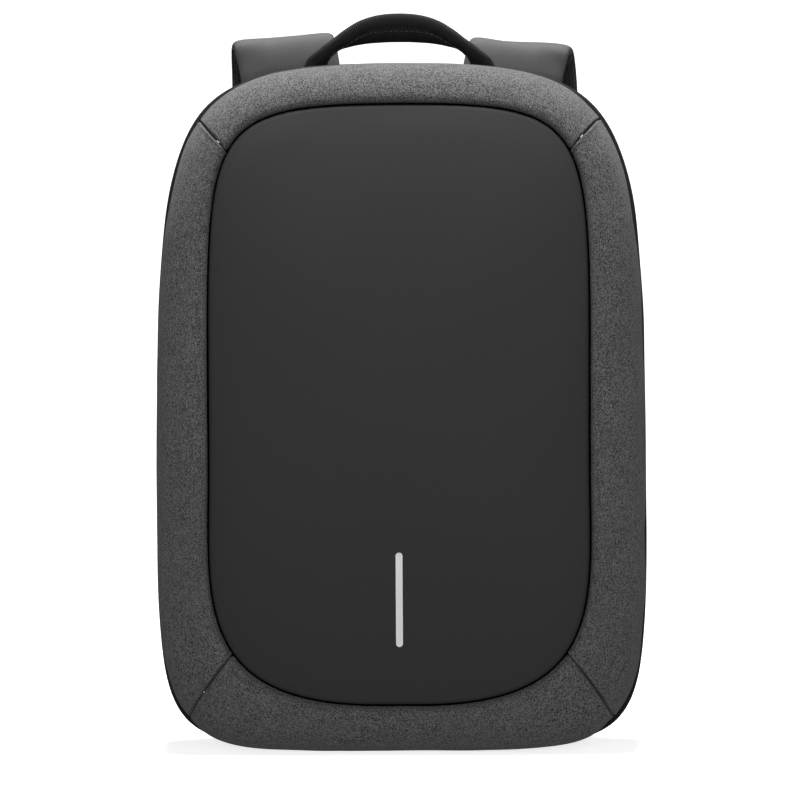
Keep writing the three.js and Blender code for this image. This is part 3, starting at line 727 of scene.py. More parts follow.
class Finish(Enum):
    """The bag's finishes, each made once and shared."""

    MELANGE = MelangePolyester()
    SHELL = FineWeave("front_shell_polyester", "#303031", "#353536")
    GUSSET = FineWeave("coated_polyester", "#0f0f10", "#141415", thread=0.9)
    STRAP = FineWeave("strap_cover_polyester", "#464647", "#4d4d4e", thread=0.8)
    MESH = SpacerMesh()
    HANDLE = RibbedWebbing()
    WEBBING = RibbedWebbing(name="strap_webbing", colour="#2c2c2d", rib=1.4)
    ZIP = RibbedWebbing(name="zip_tape", colour="#1c1c1d", rib=0.9)
    FILM = ReflectiveFilm()
    NYLON = Moulded("nylon_coil", "#1b1b1c", Gloss(rough=0.4, level=0.5))
    LOCK = Moulded("moulded_acetal", "#161617", Gloss(rough=0.42, level=0.5))
    PAINT = Moulded("painted_zinc", "#1a1a1b", Gloss(rough=0.35, level=0.5, coat=0.3))
    THREAD = Moulded("sewing_thread", "#2c2c2d", Gloss(rough=0.7, level=0.3))

    @property
    def material(self) -> Material:
        """Gives the finish's material, made the first time it's asked for."""
        made = _MADE.get(self.name)
        if made is None:
            made = _MADE[self.name] = self.value.make()
        return made


_MADE: dict[str, Material] = {}


def dress(
    piece: Piece,
    finish: Finish,
    replaces: Sequence[str] = (),
) -> Piece:
    """Gives a piece its finish and its place in the frame.

    Args:
        piece: The piece.
        finish: Its finish.
        replaces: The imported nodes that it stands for.

    Returns:
        The piece.
    """
    piece.data.materials.clear()
    piece.data.materials.append(finish.material)
    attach(piece, "root")
    if replaces:
        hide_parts(*replaces)
    LOG.info("%s: %d faces", piece.name, len(piece.data.polygons))
    return piece


# Repeats, made with Geometry Nodes


@dataclass(frozen=True)
class Repeat:
    """Small shapes set along a route: stitches of thread or the turns of a zip's coil.

    The shape is a capsule with its length along the route, or across it for a coil.
    """

    pitch: float
    length: float
    width: float
    height: float
    across: bool = False
    seed: int = 7
    wobble: float = 0.04

    def tree(self, material: Material) -> Tree:
        """Builds the node tree.

        Args:
            material: The material of each shape.

        Returns:
            The tree, with named inputs for its sizes.
        """
        made = bpy.data.node_groups.new("set_along_route", "GeometryNodeTree")
        face = made.interface
        face.new_socket("Geometry", in_out="INPUT", socket_type="NodeSocketGeometry")
        for name in ("Pitch", "Length", "Width", "Height"):
            face.new_socket(name, in_out="INPUT", socket_type="NodeSocketFloat")
        face.new_socket("Geometry", in_out="OUTPUT", socket_type="NodeSocketGeometry")
        given = node(made, "NodeGroupInput").outputs
        route = node(made, "GeometryNodeMeshToCurve", {0: given["Geometry"]})
        pace = {"Curve": route.outputs[0], "Length": given["Pitch"]}
        spaced = node(made, "GeometryNodeResampleCurve", pace, mode="LENGTH")
        size = node(made, "ShaderNodeCombineXYZ", {0: given["Length"], 1: given["Width"], 2: given["Height"]})
        bead = node(made, "GeometryNodeMeshUVSphere", {"Segments": 8, "Rings": 5, "Radius": 0.5})
        shaped = node(
            made, "GeometryNodeTransform", {"Geometry": bead.outputs["Mesh"], "Scale": size.outputs[0]}
        )
        smooth = node(made, "GeometryNodeSetShadeSmooth", {"Geometry": shaped.outputs[0]})
        ahead = node(made, "GeometryNodeInputTangent")
        up = node(made, "GeometryNodeInputNamedAttribute", {"Name": UP}, data_type="FLOAT_VECTOR")
        first = node(made, "FunctionNodeAlignRotationToVector", {"Vector": up.outputs[0]}, axis="Z")
        turned = node(
            made,
            "FunctionNodeAlignRotationToVector",
            {"Rotation": first.outputs[0], "Vector": ahead.outputs[0]},
            axis="Y" if self.across else "X",
            pivot_axis="Z",
        )
        spread = {"Min": 1 - self.wobble, "Max": 1 + self.wobble, "Seed": self.seed}
        uneven = node(made, "FunctionNodeRandomValue", spread, data_type="FLOAT")
        placed = node(
            made,
            "GeometryNodeInstanceOnPoints",
            {
                "Points": spaced.outputs[0],
                "Instance": smooth.outputs[0],
                "Rotation": turned.outputs[0],
                "Scale": next(socket for socket in uneven.outputs if socket.enabled),
            },
        )
        real = node(made, "GeometryNodeRealizeInstances", {0: placed.outputs[0]})
        dressed = node(made, "GeometryNodeSetMaterial", {"Geometry": real.outputs[0], "Material": material})
        node(made, "NodeGroupOutput", {0: dressed.outputs[0]})
        return made

    def along(
        self,
        name: str,
        runs: Sequence[tuple[np.ndarray, np.ndarray]],
        finish: Finish,
        slot: str,
    ) -> Piece:
        """Sets the shapes along routes and turns the result into a plain piece.

        Args:
            name: The piece's name.
            runs: Each route's points in mm, with the direction out of the surface at each.
            finish: The shapes' finish.
            slot: A material slot's name, which is not used.

        Returns:
            The piece, dressed.
        """
        points = np.concatenate([run for run, _ in runs])
        ups = np.concatenate([up for _, up in runs])
        edges, start = [], 0
        for run, _ in runs:
            edges += [(start + i, start + i + 1) for i in range(len(run) - 1)]
            start += len(run)
        mesh = bpy.data.meshes.new(name + "_route")
        mesh.from_pydata(((points + Place.shift) * MM).tolist(), edges, [])
        held = mesh.attributes.new(UP, "FLOAT_VECTOR", "POINT")
        held.data.foreach_set("vector", np.asarray(ups, np.float32).reshape(-1))
        guide = bpy.data.objects.new(name + "_route", mesh)
        bpy.context.scene.collection.objects.link(guide)
        modifier = guide.modifiers.new("repeat", "NODES")
        modifier.node_group = self.tree(finish.material)
        values = {"Pitch": self.pitch, "Length": self.length, "Width": self.width, "Height": self.height}
        for item in modifier.node_group.interface.items_tree:
            if item.item_type == "SOCKET" and item.in_out == "INPUT" and item.name in values:
                modifier[item.identifier] = values[item.name] * MM
        evaluated = guide.evaluated_get(bpy.context.evaluated_depsgraph_get())
        made = bpy.data.meshes.new_from_object(evaluated)
        made.name = name
        guide.modifiers.clear()
        bpy.data.objects.remove(guide)
        piece = bpy.data.objects.new(name, made)
        bpy.context.scene.collection.objects.link(piece)
        return dress(piece, finish)


# The bag's form


@dataclass(frozen=True)
class Outline:
    """A closed outline in X and Z, followed by laps: 0 top, 1 right, 2 and 3 the base flat, 4 left."""

    width: float
    top: float
    bottom: float
    widest: float
    flat: float
    corners: tuple[float, float, float, float]

    def at(self, laps: np.ndarray) -> np.ndarray:
        """Gives the outline's points at some laps."""
        laps = np.asarray(laps, float)
        side, foot = self.width / 2, self.flat / 2
        top, shoulder, hip, base = self.corners
        upper = [
            (0, self.top),
            (side * top, self.top),
            (side, lerp(self.widest, self.top, shoulder)),
            (side, self.widest),
        ]
        lower = [
            (side, self.widest),
            (side, lerp(self.widest, self.bottom, hip)),
            (lerp(foot, side, base), self.bottom),
            (foot, self.bottom),
        ]
        wrapped = laps % LAPS
        mirrored = wrapped > LAPS / 2
        along = np.where(mirrored, LAPS - wrapped, wrapped)
        point = np.where(
            (along <= 1)[..., None],
            bezier(upper, np.clip(along, 0, 1)),
            bezier(lower, np.clip(along - 1, 0, 1)),
        )
        point[..., 0] = np.where(along > 2, foot * (1 - 2 * (along - 2)), point[..., 0])
        point[..., 0] = np.where(mirrored, -point[..., 0], point[..., 0])
        return point

    def inset(self, laps: np.ndarray, distance: float) -> np.ndarray:
        """Gives the outline moved in by a distance."""
        laps = np.asarray(laps, float)
        ahead = unit(self.at(laps + LAP_STEP) - self.at(laps - LAP_STEP))
        return self.at(laps) + np.stack([ahead[..., 1], -ahead[..., 0]], -1) * distance


@dataclass(frozen=True)
class Seam:
    """A mitred corner seam: where it crosses the rim and the edge, in laps, and how far it bows."""

    rim: float
    edge: float
    bow: float = 0.0

    def opposite(self) -> Seam:
        """Gives the same seam on the other side of the bag."""
        return Seam(LAPS - self.rim, LAPS - self.edge, -self.bow)

    def moved(self, laps: float) -> Seam:
        """Gives the seam some laps further on."""
        return Seam(self.rim + laps, self.edge + laps, self.bow)


TOP_SEAM = Seam(0.473, 0.457)
BASE_SEAM = Seam(1.573, 1.578, -0.01)
STOPS = (
    TOP_SEAM.opposite().moved(-LAPS),
    Seam(0, 0),
    TOP_SEAM,
    Seam(1, 1),
    BASE_SEAM,
    Seam(2, 2),
    Seam(3, 3),
    BASE_SEAM.opposite(),
    Seam(4, 4),
    TOP_SEAM.opposite(),
    Seam(5, 5),
)


@dataclass(frozen=True)
class BagForm:
    """The shape that the bag's panels share."""

    body: Outline = Outline(300, 417.5, 0, 147, 104, (0.972, 0.927, 0.97, 0.95))
    hem: Outline = Outline(298.2, 416.6, 0, 147, 104, (0.95, 0.905, 0.85, 0.98))
    panel: Outline = Outline(226.2, 388.5, 29.7, 167, 24, (1.123, 0.937, 0.535, 1.11))
    face_depth: float = 75
    face_recede: float = 30
    deepest_z: float = 150
    gusset_depth: float = 52
    groove: float = 4.6
    crown: float = 9
    gap: float = 0.3
    lip: float = 14

    def face_y(self, z: np.ndarray) -> np.ndarray:
        """Gives how far forward the face stands at each height."""
        share = (z - self.deepest_z) / (self.body.top - self.deepest_z)
        return -self.face_depth + self.face_recede * share**2

    @property
    def middle_z(self) -> float:
        """Gives the height of the middle of the front panel."""
        return (self.panel.top + self.panel.bottom) / 2

    def panel_y(self, reach: np.ndarray, z: np.ndarray) -> np.ndarray:
        """Gives the front panel's crowned face, without its edge."""
        return self.face_y(z) - self.crown * (1 - reach**3)


FORM = BagForm()


@dataclass
class FrontShell:
    """The smooth padded shell in the middle of the front, rolled into the groove at its edge."""

    wall: float = 4.0
    roll: float = 3.0
    slope: float = 18.0
    slope_share: float = 0.2
    columns: int = 300
    insets: tuple[float, ...] = (
        0.7, 0.9, 1.15, 1.45, 1.8, 2.2, 2.7, 3.4, 4.6, 6.2, 8.5, 11.5, 15, 19, 26, 38, 52, 66, 80, 92, 102,
    )

    def build(self) -> Piece:
        """Builds the shell and gives it its cloth."""
        laps = np.linspace(0, LAPS, self.columns, endpoint=False)
        edge = FORM.panel.at(laps)
        centre = np.array([0, FORM.middle_z])
        away = edge - centre
        far = np.linalg.norm(away, axis=-1)
        rings = []
        for inset in self.insets[::-1]:
            reach = 1 - inset / np.maximum(far, 1) * (far / far.min()) ** (inset / 110)
            place = centre + away * reach[:, None]
            curl = 1 - math.sqrt(max(0.0, 1 - max(0.0, 1 - inset / self.roll) ** 2))
            curl = lerp(curl, max(0.0, 1 - inset / self.slope) ** 2, self.slope_share)
            relief = Ripple(3, 90).at(place[:, 0], place[:, 1]) * 0.22 * min(inset / 12, 1)
            y = FORM.panel_y(reach, place[:, 1]) + FORM.groove * curl + relief
            rings.append(np.stack([place[:, 0], y, place[:, 1]], -1))
        front = np.array(rings)
        back = front[::-1].copy()
        back[..., 1] += self.wall
        middle = np.array([0, float(FORM.panel_y(np.array(0.0), np.array(FORM.middle_z))), FORM.middle_z])
        piece = crowned("front_shell", np.concatenate([front, back]), [middle, middle + [0, self.wall, 0]])
        return dress(piece, Finish.SHELL, ["front_panel"])


@dataclass
class MelangePanel:
    """One of the four melange panels that frame the front, between two mitred seams."""

    name: str
    first: int
    last: int
    folded: bool = False
    wall: float = 2.6
    draw_in: float = 0.22
    crease: float = 1.5
    crease_reach: float = 1.3
    ridge: float = 0.35
    brow: float = 1.0  # how far the cloth rises towards a mitred seam
    rim_gap: float = 0.6
    hem_taper: float = 0.03
    side_taper: float = 0.045
    corner_taper: float = 0.01
    crest_height: float = 88
    step: float = 3.6
    rows: int = 44
    # Across, how far back at the sides and at the crest, depth in the groove, and how far drawn in.
    section: tuple[tuple[float, float, float, float, float], ...] = (
        (0, 0, 0, 1, 0),
        (0.045, 0, 0, 0.3, 0),
        (0.14, 0, 0.012, 0, 0),
        (0.4, 0.035, 0.085, 0, 0.1),
        (0.64, 0.105, 0.2, 0, 0.3),
        (0.83, 0.215, 0.36, 0, 0.6),
        (0.95, 0.37, 0.54, 0, 0.9),
        (1, 0.54, 0.7, 0, 1),
        (1, 0.78, 0.86, 0, 0.5),
        (1, 1, 1, 0, 0),
    )

    def laps(self) -> np.ndarray:
        """Gives the rim laps of the panel's columns, closer together at its seams."""
        start, end = STOPS[self.first].rim, STOPS[self.last].rim
        length = (end - start) * 215
        inner = np.linspace(0, 1, max(24, int(length / self.step)))
        near = np.array([0.25, 0.6, 1.0, 1.4, 1.8, 2.3, 3.0, 4.0, 5.4]) / length
        shares = np.unique(np.concatenate([inner, near, 1 - near]))
        margin = self.draw_in / 215
        return lerp(start + margin, end - margin, shares)

    def face(self, laps: np.ndarray) -> tuple[np.ndarray, np.ndarray]:
        """Works out the panel's outer face.

        Args:
            laps: The rim lap of each column.

        Returns:
            The points, columns by rows, and the share of the way across at each row.
        """
        stops = np.array([s.rim for s in STOPS])
        table = [(s.edge, s.bow) for s in STOPS]
        edge_bow = through(table, laps, stops)
        t = np.linspace(0, 1, self.rows) ** 1.15
        across, side_back, crest_back, groove, drawn = through(self.section, t).T
        bow = edge_bow[:, 1:] * 4 * across * (1 - across)
        rim = FORM.panel.inset(laps[:, None] + bow, -self.rim_gap)
        hem = FORM.hem.at(edge_bow[:, :1] + bow)
        side = ease((np.abs(hem[..., 0]) - 95) / 35)
        corner = side * ease((np.abs(hem[..., 1] - FORM.middle_z) - 100) / 60)
        taper = self.hem_taper + self.side_taper * side + self.corner_taper * corner
        xz = rim + (hem - rim) * (across - taper * drawn * ease(hem[..., 1] / 25))[..., None]
        crest = ease((rim[..., 1] - FORM.panel.top) / self.crest_height + 1)
        back = lerp(side_back, crest_back, crest)
        y = FORM.face_y(rim[..., 1]) * (1 - back) + FORM.groove * groove
        return np.stack([xz[..., 0], y, xz[..., 1]], -1), across

    def build(self) -> Piece:
        """Builds the panel with its creases and folds, and gives it its cloth."""
        face, across = self.face(self.laps())
        normals = grid_normals(face, False)
        outward = normals[len(face) // 2, self.rows // 2]
        middle = face[len(face) // 2, self.rows // 2] - np.array([0, 0, FORM.middle_z])
        normals = normals if np.dot(outward, middle) > 0 else -normals
        u, v = run_lengths(face, 0), run_lengths(face, 1)
        off = np.minimum(u, u[-1:] - u)
        past = v[:, -1:] - v
        turn = np.clip(1 - off / self.crease_reach, 0, 1)
        lift = -self.crease * (1 - np.sqrt(1 - turn**2))
        lift += Ripple(self.first + 5, 70).at(u, v) * 0.35 * ease(off / 14) * ease(v / 10)
        arch = np.sin(math.pi * np.clip(across, 0, 1))[None]
        lift += 0.6 * arch * ease(off / 20)
        puckers = np.abs(Ripple(self.first + 11, 13).at(u, 0 * v))
        lift -= 0.3 * puckers * np.exp(-np.abs(v - 4) / 3.5) * ease(off / 6)
        lift += 0.35 * np.exp(-(((past - 1.6) / 1.1) ** 2))
        lift += self.brow * np.exp(-off / 15) * arch * ease(off / 1.5)
        if self.folded:
            lift += self.ridge * np.exp(-(((off - 1.3) / 0.55) ** 2))
        outer = face + normals * lift[..., None]
        outer[..., 2] = np.maximum(outer[..., 2], 0)
        inner = face - normals * self.wall
        piece = walled(self.name, outer, inner, np.stack([u, v], -1), False)
        return dress(piece, Finish.MELANGE, [self.name.replace("_cloth", "")])


@dataclass
class RearGusset:
    """The black ring of coated cloth behind the melange panels."""

    wall: float = 2.4
    columns: int = 280
    rows: int = 34
    # How far out past the hem, how far in to the back panel, and how far back.
    section: tuple[tuple[float, float, float], ...] = (
        (0, 0, 0),
        (0.8, 0, 0.06),
        (1, 0, 0.2),
        (1, 0, 0.78),
        (1, 0.1, 0.87),
        (1, 0.62, 1),
        (1, 1, 1),
    )

    def point(self, laps: np.ndarray, swell: float, tuck: float, back: float) -> np.ndarray:
        """Gives points of the gusset's face.

        Args:
            laps: Where on the outline.
            swell: The share of the way out past the hem.
            tuck: The share of the way in to the back panel.
            back: The share of the depth.

        Returns:
            The points.
        """
        out = lerp(lerp(FORM.hem.at(laps), FORM.body.at(laps), swell), FORM.body.inset(laps, FORM.lip), tuck)
        depth = np.full(out.shape[:-1], lerp(FORM.gap, FORM.gusset_depth, back))
        return np.stack([out[..., 0], depth, out[..., 1]], -1)

    def build(self) -> Piece:
        """Builds the ring and gives it its cloth."""
        laps = np.linspace(0, LAPS, self.columns, endpoint=False)
        rows = through(self.section, np.linspace(0, 1, self.rows))
        face = np.stack([self.point(laps, *row) for row in rows], 1)
        normals = grid_normals(face, True)
        if np.dot(normals[0, self.rows // 2], [0, 0, 1]) < 0:
            normals = -normals
        u = run_lengths(np.concatenate([face, face[:1]]), 0)
        v = run_lengths(np.concatenate([face, face[:1]]), 1)
        lift = Ripple(21, 60).at(u[:-1], v[:-1]) * 0.25 * ease(v[:-1] / 8)
        outer = face + normals * lift[..., None]
        outer[..., 2] = np.maximum(outer[..., 2], 0)
        piece = walled(
            "gusset_cloth",
            outer,
            face - normals * self.wall,
            np.stack([u, v], -1),
            True,
        )
        return dress(piece, Finish.GUSSET, ["rear_gusset"])


@dataclass
class BackPad:
    """The foam pad against the wearer's back, covered in spacer mesh."""

    crown: float = 16
    pad: float = 11
    edge: float = 5
    columns: int = 200
    voxel: float = 5.0
    pressure: float = 4.0
    most: float = 2.5

    def surface_y(self, reach: np.ndarray) -> np.ndarray:
        """Gives how far back the pad stands at a share of the way out to its edge."""
        return FORM.gusset_depth + self.crown * (1 - reach**4)

    def build(self) -> Piece:
        """Builds the pad, lets it swell as cloth and gives it its mesh."""
        laps = np.linspace(0, LAPS, self.columns, endpoint=False)
        edge = FORM.body.inset(laps, FORM.lip + FORM.gap)
        centre = np.array([0, FORM.middle_z])

        def ring(reach: float, y: float) -> np.ndarray:
            place = centre + (edge - centre) * reach
            return np.stack([place[:, 0], np.full(len(laps), y), place[:, 1]], -1)

        reaches = np.array([0.08, 0.2, 0.32, 0.44, 0.56, 0.67, 0.77, 0.85, 0.91, 0.95, 0.975, 0.99, 1.0])
        face = [ring(r, float(self.surface_y(np.array(r)))) for r in reaches]
        inside = [ring(r, float(self.surface_y(np.array(r))) - self.pad) for r in (0.8, 0.6, 0.4, 0.2, 0.08)]
        low = FORM.gusset_depth - self.edge
        rings = np.array([*face, ring(1.0, low), ring(0.97, low), *inside])
        top = float(self.surface_y(np.array(0.0)))
        middles = [np.array([0, top, FORM.middle_z]), np.array([0, top - self.pad, FORM.middle_z])]
        piece = crowned("back_pad", rings, middles)
        self.swell(piece)
        self.map_cloth(piece)
        return dress(piece, Finish.MESH, ["back_panel"])

    def swell(self, piece: Piece) -> None:
        """Swells the pad by a short cloth simulation and applies the result."""
        remesh = piece.modifiers.new("remesh", "REMESH")
        remesh.mode = "VOXEL"
        remesh.voxel_size = self.voxel * MM
        self.apply(piece)
        rest = self.points(piece)
        seam = (FORM.gusset_depth + Place.shift[1]) * MM
        held = piece.vertex_groups.new(name="held")
        held.add([i for i, p in enumerate(rest) if p[1] < seam + 0.001], 1.0, "REPLACE")
        cloth = piece.modifiers.new("cloth", "CLOTH")
        cloth.settings.quality = 6
        cloth.settings.use_pressure = True
        cloth.settings.uniform_pressure_force = self.pressure
        cloth.settings.vertex_group_mass = "held"
        cloth.settings.effector_weights.gravity = 0
        cloth.point_cache.frame_start, cloth.point_cache.frame_end = 1, 20
        for frame in range(1, 21):
            bpy.context.scene.frame_set(frame)
        self.apply(piece)
        bpy.context.scene.frame_set(1)
        moved = self.points(piece) - rest
        far = np.maximum(np.linalg.norm(moved, axis=1, keepdims=True), 1e-9)
        kept = rest + moved * np.minimum(1, self.most * MM / far)
        piece.data.vertices.foreach_set("co", kept.reshape(-1).astype(np.float32))
        piece.data.update()
        finer = piece.modifiers.new("finer", "SUBSURF")
        finer.levels = finer.render_levels = 1
        self.apply(piece)
        piece.data.polygons.foreach_set("use_smooth", [True] * len(piece.data.polygons))
        piece.vertex_groups.clear()

    @staticmethod
    def apply(piece: Piece) -> None:
        """Applies a piece's modifiers by taking its evaluated mesh."""
        evaluated = piece.evaluated_get(bpy.context.evaluated_depsgraph_get())
        made = bpy.data.meshes.new_from_object(evaluated)
        piece.modifiers.clear()
        old = piece.data
        piece.data = made
        bpy.data.meshes.remove(old)
        made.name = piece.name

    @staticmethod
    def points(piece: Piece) -> np.ndarray:
        """Gives a piece's points, in metres."""
        flat = np.zeros(len(piece.data.vertices) * 3, np.float32)
        piece.data.vertices.foreach_get("co", flat)
        return flat.reshape(-1, 3).astype(float)

    @staticmethod
    def map_cloth(piece: Piece) -> None:
        """Maps the mesh cloth straight on from behind, which a remesh has removed."""
        mesh = piece.data
        layer = mesh.uv_layers.get(CLOTH_UV) or mesh.uv_layers.new(name=CLOTH_UV)
        points = BackPad.points(piece)
        corner = np.zeros(len(mesh.loops), np.int32)
        mesh.loops.foreach_get("vertex_index", corner)
        layer.data.foreach_set("uv", points[corner][:, [0, 2]].reshape(-1).astype(np.float32))


@dataclass
class HiddenZip:
    """The zip that runs over the top on the gusset's rear slope, with its slider."""

    gusset: RearGusset
    end_lap: float = 1.62
    low: float = 0.04
    high: float = 0.72
    thickness: float = 1.2
    columns: int = 320
    coil: Repeat = Repeat(pitch=1.5, length=3.6, width=1.0, height=0.9, across=True, wobble=0.0)

    def slope(self, laps: np.ndarray) -> tuple[np.ndarray, np.ndarray, np.ndarray]:
        """Works out the gusset's rear slope.

        Args:
            laps: Where on the outline.

        Returns:
            The slope's lower and upper lines and its outward direction.
        """
        low, high = (self.gusset.point(laps, *self.gusset.section[i]) for i in (4, 5))
        ahead = self.gusset.point(laps + LAP_STEP, *self.gusset.section[4]) - low
        out = unit(np.cross(ahead, high - low))
        return low, high, out

    def build(self) -> list[Piece]:
        """Builds the tape, the coil and the slider."""
        laps = np.linspace(-self.end_lap, self.end_lap, self.columns)
        low, high, out = self.slope(laps)
        shares = np.array([self.low, 0.2, 0.355, 0.38, 0.405, 0.56, self.high])
        lifts = np.array([0.75, 1.0, 1.0, 0.55, 1.0, 1.0, 0.75]) * self.thickness + FORM.gap
        row = low[:, None] + (high - low)[:, None] * shares[None, :, None]
        outer = row + out[:, None] * lifts[None, :, None]
        inner = row + out[:, None] * FORM.gap
        u, v = run_lengths(outer, 0), run_lengths(outer, 1)
        tape = walled("zip_tape", outer, inner, np.stack([u, v], -1), False)
        dress(tape, Finish.ZIP, ["main_zip"])
        line = low + (high - low) * 0.38 + out * (FORM.gap + self.thickness * 0.75)
        coil = self.coil.along("zip_coil", [(line[4:-4], out[4:-4])], Finish.NYLON, "zip_tape")
        slider = bpy.data.objects.new("slider", copy_node("zip_slider"))
        bpy.context.scene.collection.objects.link(slider)
        soften(slider, 0.45)
        dress(slider, Finish.PAINT, ["zip_slider"])
        return [tape, coil, slider]


def copy_node(name: str) -> bpy.types.Mesh:
    """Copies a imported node's mesh and joins its loose triangles."""
    source = bpy.data.objects[name].data
    work = bmesh.new()
    work.from_mesh(source)
    bmesh.ops.remove_doubles(work, verts=work.verts, dist=1e-6)
    bmesh.ops.dissolve_limit(work, angle_limit=math.radians(2), verts=work.verts, edges=work.edges)
    mesh = bpy.data.meshes.new(name + "_form")
    work.to_mesh(mesh)
    work.free()
    return mesh


def soften(piece: Piece, width: float) -> None:
    """Rounds a hard piece's edges, width in mm, and applies it."""
    bevel = piece.modifiers.new("rounded", "BEVEL")
    bevel.width = width * MM
    bevel.segments = 3
    bevel.limit_method = "ANGLE"
    bevel.angle_limit = math.radians(40)
    BackPad.apply(piece)
    piece.data.polygons.foreach_set("use_smooth", [True] * len(piece.data.polygons))
    piece.data.set_sharp_from_angle(angle=math.radians(35))


@dataclass
class GrabHandle:
    """The ribbed webbing handle: flat where it's sewn, edgeways on its way up, double in the grip."""

    span: float = 108
    rise: float = 26.1
    height: float = 18
    grip: float = 10
    sway: float = -1.2
    stations: int = 150
    # Shares of the half span, the rise, the height and the grip's thickness.
    route: tuple[tuple[float, float, float, float], ...] = (
        (1, 0, 0.85, 0.35),
        (0.995, 0.22, 0.85, 0.35),
        (0.955, 0.44, 0.78, 0.5),
        (0.867, 0.6, 0.52, 0.85),
        (0.74, 0.74, 0.46, 1),
        (0.6, 0.84, 0.62, 1),
        (0.4, 0.94, 0.85, 1),
        (0.2, 0.988, 0.97, 1),
        (0, 1, 1, 1),
    )
    stitch: Repeat = Repeat(pitch=3.2, length=2.3, width=0.5, height=0.5)

    def rows(self) -> np.ndarray:
        """Gives the handle's stations as x, z, height and thickness, from left to right."""
        half = np.array(self.route)
        half[:, 0] *= self.span / 2
        lip = FORM.body.inset(np.linspace(0, 1, 400), FORM.lip)
        sewn = float(np.interp(self.span / 2, lip[:, 0], lip[:, 1])) + FORM.gap
        half[:, 1] = lerp(sewn, FORM.body.top + self.rise, half[:, 1])
        half[:, 2] *= self.height
        half[:, 3] *= self.grip
        left = half.copy()
        left[:, 0] *= -1
        return np.concatenate([left, half[:-1][::-1]])

    def build(self) -> list[Piece]:
        """Builds the handle and the stitches along its fold."""
        rows = self.rows()
        y = FORM.gusset_depth + FORM.gap + self.grip * self.route[0][3] / 2
        points = np.stack([rows[:, 0], np.full(len(rows), y), rows[:, 1]], -1)
        middles, ahead = SmoothRoute(points).sampled(self.stations)
        shares = np.linspace(0, 1, self.stations)
        size = through(rows[:, 2:], shares)
        height, grip = size[:, 0], size[:, 1]
        rear = np.tile([0.0, 1.0, 0.0], (self.stations, 1))
        up = unit(np.cross(rear, ahead))
        up = np.where(up[:, 2:] < 0, -up, up)
        middles[:, 0] += self.sway * ease((middles[:, 2] - 405) / 20)
        corners = 48
        a, b = rounded(np.linspace(0, 2 * math.pi, corners, endpoint=False), 0.75, 0.7)
        full = ease((height / self.height - 0.42) / 0.5)
        fold = lerp(-0.8, -0.12, full)
        sections = np.zeros((self.stations, corners, 2))
        for i in range(self.stations):
            dent = np.exp(-(((a - fold[i]) / 0.1) ** 2)) * 1.3 * full[i]
            sections[i, :, 0] = a * height[i] / 2
            sections[i, :, 1] = b * grip[i] / 2 + np.where(b < 0, dent, 0)
        piece = band("handle_webbing", middles, up, rear, sections)
        dress(piece, Finish.HANDLE, ["grab_handle"])
        keep = slice(self.stations // 5, -self.stations // 5)
        seam = middles + up * (fold - 0.17)[:, None] * height[:, None] / 2
        seam[:, 1] -= grip / 2 * 0.98
        line = [(seam[keep], -rear[keep])]
        stitches = self.stitch.along("handle_stitches", line, Finish.THREAD, "handle_webbing")
        return [piece, stitches]


class Side(Enum):
    """The bag's two sides: the sign in X, and the strap's lean, its splay and its fold's extra height."""

    LEFT = ("left", -1, 10.3, 0.0, 4.3)
    RIGHT = ("right", 1, 10.9, 9.0, 0.0)

    @property
    def word(self) -> str:
        """Gives the side's name."""
        return self.value[0]


